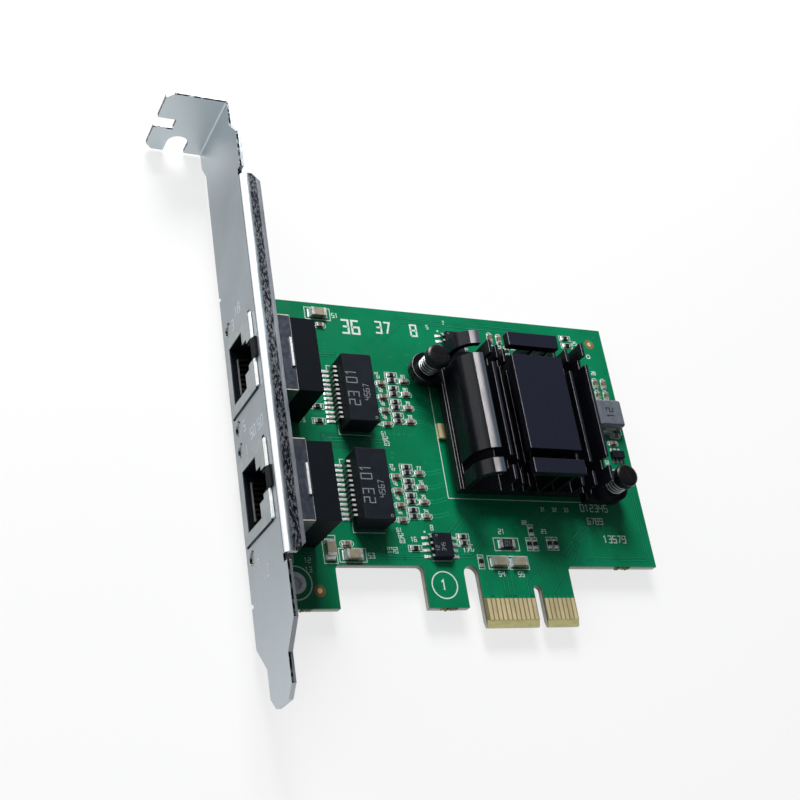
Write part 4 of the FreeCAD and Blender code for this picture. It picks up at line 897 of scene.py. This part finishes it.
def copper_lines():
    """Raised runs of covered copper, each between two dark gaps, on both faces of the board."""
    runs, gaps, back, fields = (bmesh.new() for _ in range(4))
    for points, count, (dx, dy) in RUNS:
        for copy in range(count):
            route = [(x + dx * copy, y + dy * copy) for x, y in points]
            stroke(runs, route, 0.2, COPPER_HEIGHT)
            stroke(gaps, route, 0.42, COPPER_HEIGHT / 2)
            line(back, route, 0.22, BOARD_BACK - COPPER_HEIGHT, BOARD_BACK)
    for index in (1, 2):
        low, high = box_mm("transformer_%d_leads" % index)
        for step in range(12):
            y = low.y + 0.21 + step
            inwards = [(low.x - 0.1, y), (low.x - 1.2, y - 0.5), (low.x - 3.4, y - 0.5)]
            outwards = [(high.x + 0.05, y), (high.x + 0.7, y + 0.15), (high.x + 1.6, y + 0.15)]
            stroke(runs, inwards, 0.22, COPPER_HEIGHT)
            stroke(runs, outwards, 0.2, COPPER_HEIGHT)
        bend = 0.9 if index == 1 else -0.9
        for step in range(4):
            y = low.y + 0.8 + step * LANE_PITCH
            for lane in (0.0, 1.28):
                end = y + lane * 0.5
                route = [(35.3, y + lane), (36.2, y + lane), (36.6, end + 0.2), (39.8, end + 0.2),
                         (42.2, end + bend)]
                stroke(runs, route, 0.2, COPPER_HEIGHT)
    for x, y, width, length in BARE_FIELDS:
        plate(fields, x, y, width, length, COPPER_HEIGHT / 3)
    piece("covered_traces", runs, "trace", 30)
    piece("trace_gaps", gaps, "gap", 30)
    piece("covered_traces_back", back, "trace", 30)
    piece("bare_fields", fields, "field")


VIA_COUNT = 120
VIA_HOLE, VIA_RIM = 0.13, 0.3
# Left, lower, right and upper limits of places that have no scattered vias.
VIA_FREE = [(22.0, 59.5, 42.0, 67.5), (3.0, 12.0, 16.0, 57.0), (42.5, 25.5, 75.5, 58.0),
            (45.0, 0.0, 69.0, 9.0)]


def vias():
    """Small plated holes under the mask, in rows beside the copper runs and scattered over the pours."""
    random.seed(11)
    blocked = [(low.x - 1, low.y - 1, high.x + 1, high.y + 1) for name in (
        "passive_end_caps", "transformer_1_leads", "transformer_2_leads", "memory_chip_leads",
        "regulator_chip_leads", "inductor_body") for low, high in islands(name)]
    blocked += VIA_FREE
    spots = [(47.4 + 1.7 * k, 24.0) for k in range(14)] + [(28.6 + 1.1 * k, 39.6) for k in range(9)]
    spots += [(20.6, 57.2 + 0.9 * k) for k in range(3)] + [(72.5 + 1.3 * k, 20.5) for k in range(8)]
    while len(spots) < VIA_COUNT:
        x, y = random.uniform(17, 87), random.uniform(13.5, 66.5)
        if not any(x0 < x < x1 and y0 < y < y1 for x0, y0, x1, y1 in blocked):
            spots.append((x, y))
    rings, holes = bmesh.new(), bmesh.new()
    for x, y in spots:
        ring(rings, x, y, VIA_HOLE, VIA_RIM, BOARD_TOP, BOARD_TOP + COPPER_HEIGHT * 1.3, 12)
        prism(holes, arc(x, y, VIA_HOLE, 0, 330, 11), BOARD_TOP, BOARD_TOP + COPPER_HEIGHT * 0.4)
    piece("via_rings", rings, "trace")
    piece("via_holes", holes, "gap")


def fiducials():
    """Two round marks for the machine that places the parts: a plated dot in a bare ring."""
    rims, dots = bmesh.new(), bmesh.new()
    dot, rim = 0.5, 1.15
    for x, y in ((12.9, 7.2), (85.25, 64.5)):
        ring(rims, x, y, dot, rim, BOARD_TOP, BOARD_TOP + COPPER_HEIGHT * 0.5)
        prism(dots, arc(x, y, dot, 0, 350, 35), BOARD_TOP, BOARD_TOP + COPPER_HEIGHT)
    piece("fiducial_rims", rims, "bare_copper")
    piece("fiducial_dots", dots, "gold")


def finger_traces():
    """Stubs of covered plating that run on from the edge fingers, on both faces."""
    stubs = bmesh.new()
    for low, high in islands("edge_contacts"):
        middle = (low.x + high.x) / 2
        base = BOARD_TOP if high.z > 0 else BOARD_BACK - COPPER_HEIGHT
        line(stubs, [(middle, high.y - 0.05), (middle, high.y + 0.6)], 0.24, base, base + COPPER_HEIGHT)
    piece("finger_traces", stubs, "trace")


# Where the board was parted from its panel: start, end and the edge's own place.
PARTED_EDGES = ((8.9, 10.9, 3.8), (37.3, 40.5, 3.8), (79.0, 82.2, 12.2))


def parted_tabs():
    """Rough stubs of laminate where the board was parted from its panel."""
    random.seed(5)
    tabs = bmesh.new()
    for start, end, edge in PARTED_EDGES:
        x = start
        while x < end:
            width = random.uniform(0.28, 0.5)
            depth = random.uniform(0.12, 0.34)
            corners = [(x, edge + 0.02), (x + width * 0.15, edge - depth),
                       (x + width * 0.8, edge - depth * 0.8), (x + width, edge + 0.02)]
            low = BOARD_BACK + random.uniform(0.15, 0.4)
            high = BOARD_TOP - random.uniform(0.1, 0.35)
            prism(tabs, corners, low, high)
            x += width + random.uniform(0.02, 0.2)
    piece("parted_tabs", tabs, "laminate")


# --- pins and springs ------------------------------------------------------------------------
def push_pins():
    """Moulded pins: a domed head with a cross line, a ribbed collar, a shaft and a barb."""
    shaft, barb, rib = 1.25, 1.5, 0.14
    line_turn = math.radians(-68)
    for index in (1, 2):
        name = "push_pin_%d" % index
        low, high = box_mm(name)
        x, y = (low.x + high.x) / 2, (low.y + high.y) / 2
        radius, top = (high.x - low.x) / 2, high.z
        collar, head = top - 2.2, top - 1.8
        mesh = bmesh.new()
        profile = [(0.75, low.z), (1.0, low.z + 0.15), (barb, low.z + 1.5), (barb, BOARD_BACK - 0.02),
                   (shaft, BOARD_BACK - 0.01), (shaft, collar), (radius - 0.45, collar),
                   (radius - 0.4, collar + 0.08), (radius - 0.4, head - 0.02), (radius - 0.05, head),
                   (radius, head + 0.1), (radius, top - 0.5), (radius - 0.12, top - 0.22),
                   (radius - 0.4, top - 0.05), (radius - 0.75, top), (0.5, top)]
        lathe(mesh, profile, metres(x, y, 0), 96, 24, rib, ribbed=(7, 8, 10, 11))
        reach_x, reach_y = (part * (radius - 0.5) for part in (math.cos(line_turn), math.sin(line_turn)))
        line(mesh, [(x - reach_x, y - reach_y), (x + reach_x, y + reach_y)], 0.2, top - 0.1, top + 0.02)
        made = piece(name + "_moulding", mesh, "pin", 30)
        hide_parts(name)


def pin_springs():
    """Round-wire coils, closed at both ends, between the sink's ears and the pins' collars."""
    for index in (1, 2):
        name = "pin_spring_%d" % index
        low, high = box_mm(name)
        x, y = (low.x + high.x) / 2, (low.y + high.y) / 2
        wire = 0.17
        radius = (high.x - low.x) / 2 - 0.22
        turns, steps = 4.5, 28
        curve = bpy.data.curves.new(name + "_coil", "CURVE")
        curve.dimensions = "3D"
        spline = curve.splines.new("NURBS")
        count = int(turns * steps) + 1
        spline.points.add(count - 1)
        for k in range(count):
            t = k / (count - 1)
            angle = 2 * math.pi * turns * t
            climb = min(1.0, max(0.0, (t * turns - 0.45) / (turns - 0.9)))
            z = low.z + wire + (high.z - low.z - 2 * wire) * climb
            spline.points[k].co = (*metres(x + radius * math.cos(angle), y + radius * math.sin(angle), z), 1)
        spline.order_u = 3
        spline.use_endpoint_u = True
        curve.resolution_u = 2
        curve.bevel_depth = wire * MM
        curve.bevel_resolution = 3
        curve.use_fill_caps = True
        coil = place_object(name + "_coil", curve)
        curve.materials.append(FINISHES["spring"])
        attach(coil, "root")
        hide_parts(name)


# --- jacks, chips and the bracket's marks ----------------------------------------------------
def jack_folds():
    """Folds of each jack's shield, the latch's notch and the bar over the spring wires, with painted
    highlights: near-white strips on the bar and at the front, and pale strips along the side folds.
    """
    bars, edges, ends, notches, guides = (bmesh.new() for _ in range(5))
    for index in (1, 2):
        low, high = box_mm("jack_%d_shield" % index)
        contact_low, contact_high = box_mm("jack_%d_contacts" % index)
        rim = box_mm("jack_%d_housing" % index)[1].z + 0.3
        rear = high.x - 0.03
        middle = (low.y + high.y) / 2
        # Painted highlight: pale strips along the shield's side folds.
        for y in (low.y + 0.1, high.y - 0.1):
            line(ends, [(4.6, y), (high.x - 0.1, y)], 0.18, rim - 0.2, rim + 0.04)
        line(edges, [(rear, low.y + 0.2), (rear, high.y - 0.2)], 0.1, rim - 0.2, rim + 0.04)
        # Painted highlight: the bar and the strips at the front are painted near white.
        line(bars, [(high.x - 0.5, middle - 3.0), (high.x - 0.5, middle + 3.0)], 0.42, rim, high.z + 0.04)
        for start, end in ((low.y + 0.1, low.y + 5.5), (high.y - 6.1, high.y - 0.8)):
            front = rectangle(low.x + 0.08, (start + end) / 2, 0.36, end - start)
            prism(bars, front, high.z + 0.05, high.z + 0.8)
        notch = rectangle(low.x + 0.15, (low.y + high.y - 0.7) / 2, 0.36, high.y - low.y - 11.9)
        prism(notches, notch, high.z - 0.6, high.z + 1.6)
        guide = rectangle(contact_low.x - 0.2, (contact_low.y + contact_high.y) / 2, 0.2,
                          contact_high.y - contact_low.y)
        prism(guides, guide, contact_low.z - 0.3, contact_low.z + 0.45)
    piece("jack_bars_painted_highlight", bars, "pad")
    piece("jack_edges", edges, "guide")
    piece("jack_fold_highlights", ends, "fold")
    piece("latch_notches", notches, "moulding")
    piece("contact_guides", guides, "guide")


def chip_marks():
    """A moulded dot by the first lead, and plain numerals, on the packages."""
    mesh = bmesh.new()
    for index in (1, 2):
        low, high = box_mm("transformer_%d_body" % index)
        top, mark_top = high.z, high.z + 0.02
        numerals(mesh, "01", low.x + 2.6, low.y + 8.2, 2.2, 90, 0.2, top, mark_top)
        numerals(mesh, "23", low.x + 2.6, low.y + 3.4, 2.2, 90, 0.2, top, mark_top)
        numerals(mesh, "4567", low.x + 4.9, low.y + 4.6, 1.2, 90, 0.14, top, mark_top)
        ring(mesh, high.x - 0.75, low.y + 0.9, 0.18, 0.3, top, mark_top, 20)
    for name in ("memory_chip_body", "regulator_chip_body"):
        low, high = box_mm(name)
        top, mark_top = high.z, high.z + 0.012
        numerals(mesh, "12", low.x + 0.9, low.y + 1.2, 0.8, 90, 0.09, top, mark_top)
        numerals(mesh, "345", low.x + 2.2, low.y + 1.2, 0.8, 90, 0.09, top, mark_top)
        ring(mesh, low.x + 0.6, high.y - 0.6, 0.16, 0.25, top, mark_top, 16)
    low, high = box_mm("sense_resistor")
    numerals(mesh, "012", low.x + 0.5, (low.y + high.y) / 2 - 0.5, 1.0, 0, 0.1, high.z, high.z + 0.012)
    piece("chip_marks", mesh, "chip_print")
    low, high = box_mm("inductor_body")
    mesh = bmesh.new()
    numerals(mesh, "12", low.x + 3.6, low.y + 1.9, 1.7, 90, 0.22, high.z, high.z + 0.015)
    piece("inductor_mark", mesh, "glaze")


def bracket_marks():
    """Plain numerals pressed into the bracket's outer face beside the jacks and lamps."""
    mesh = bmesh.new()

    def on_face(u, v, depth):
        """u runs up the bracket and v across it, so numerals read mirrored from outside."""
        return Vector((-depth, u, v)) * MM

    for text, y, z in (("1", 33.4, 4.4), ("2", 38.2, 4.4), ("3", 59.6, 4.0), ("4", 12.4, 4.0),
                       ("10", 61.2, 6.4), ("20", 35.2, 7.4), ("10", 9.0, 6.4), ("20", 35.2, 11.4)):
        numerals(mesh, text, y, z, 2.0, 90, 0.22, -0.01, 0.02, place=on_face)
    piece("stamped_numbers", mesh, "stamp")


# --- studio ----------------------------------------------------------------------------------
def white_for_eye(name, colour, strength, seen):
    """A pale diffuse surface that also shows white to the camera, to gloss and through clear parts."""
    material = bpy.data.materials.new(name)
    graph = Graph(material)
    graph.tree.nodes.clear()
    diffuse = graph.node("ShaderNodeBsdfDiffuse")
    diffuse.inputs["Color"].default_value = (*colour, 1)
    glow = graph.node("ShaderNodeEmission")
    glow.inputs["Strength"].default_value = strength
    path = graph.node("ShaderNodeLightPath").outputs
    white = graph.most(graph.most(path["Is Camera Ray"], path["Is Glossy Ray"]), path["Is Transmission Ray"])
    mix = graph.node("ShaderNodeMixShader")
    graph.link(graph.times(white, seen), mix.inputs["Fac"])
    graph.link(diffuse.outputs["BSDF"], mix.inputs[1])
    graph.link(glow.outputs["Emission"], mix.inputs[2])
    output = graph.node("ShaderNodeOutputMaterial")
    graph.link(mix.outputs["Shader"], output.inputs["Surface"])
    return material


def floor():
    """A wide pale floor just under the card."""
    mesh = bmesh.new()
    height = cad_low.z / MM - 0.05
    mesh.faces.new([mesh.verts.new(metres(x, y, height)) for x, y in rectangle(0, 0, 3000, 3000)])
    data = bpy.data.meshes.new("floor")
    mesh.to_mesh(data)
    mesh.free()
    made = place_object("floor", data)
    data.materials.append(white_for_eye("pale_floor", (0.9, 0.9, 0.9), 1.0, 0.75))


def world():
    """A pale surround near the horizon that darkens overhead, where flat gloss would show it."""
    made = bpy.data.worlds.new("studio")
    bpy.context.scene.world = made
    graph = Graph(made)
    height = graph.part(2, graph.node("ShaderNodeTexCoord").outputs["Generated"])
    sky = graph.mix(graph.rise(height, 0.0, 0.42), (0.84, 0.87, 0.9), (0.085, 0.09, 0.1))
    graph.link(sky, graph.tree.nodes["Background"].inputs["Color"])


def area_light(name, place_mm, target_mm, size_mm, power):
    light = bpy.data.lights.new(name, "AREA")
    light.shape = "RECTANGLE"
    light.size, light.size_y = (side * MM for side in size_mm)
    light.energy = power
    made = place_object(name, light)
    made.location = metres(*place_mm)
    made.rotation_euler = (made.location - metres(*target_mm)).to_track_quat("Z", "Y").to_euler()


def lights():
    """Two large soft boxes, the stronger one above and behind the tab."""
    target = (45, 40, 0)
    area_light("key_softbox", (-45, 490, 390), target, (230, 230), 4.3)
    area_light("side_softbox", (-350, 270, 250), target, (300, 420), 0.95)


def camera():
    """The photo's viewpoint: above the bracket's outer face, turned about the line of sight."""
    place_mm = (-81.58, -67.98, 212.71)
    right = Vector((0.8980, -0.1489, 0.4141)).normalized()
    away = Vector((0.4360, 0.4290, -0.7912)).normalized()
    data = bpy.data.cameras.new("camera")
    data.sensor_width = 36.0
    data.lens = 60.33
    data.clip_start, data.clip_end = 0.01, 20
    made = place_object("camera", data)
    turn = Matrix((right, right.cross(away), -away)).transposed()
    made.matrix_world = Matrix.Translation(metres(*place_mm)) @ turn.to_4x4()
    bpy.context.scene.camera = made


dress_frame()
solder_chip_parts()
solder_leads()
solder_side()
print_board()
copper_lines()
vias()
fiducials()
finger_traces()
parted_tabs()
push_pins()
pin_springs()
jack_folds()
chip_marks()
bracket_marks()
floor()
world()
lights()
camera()
bpy.context.scene.view_settings.view_transform = "Standard"
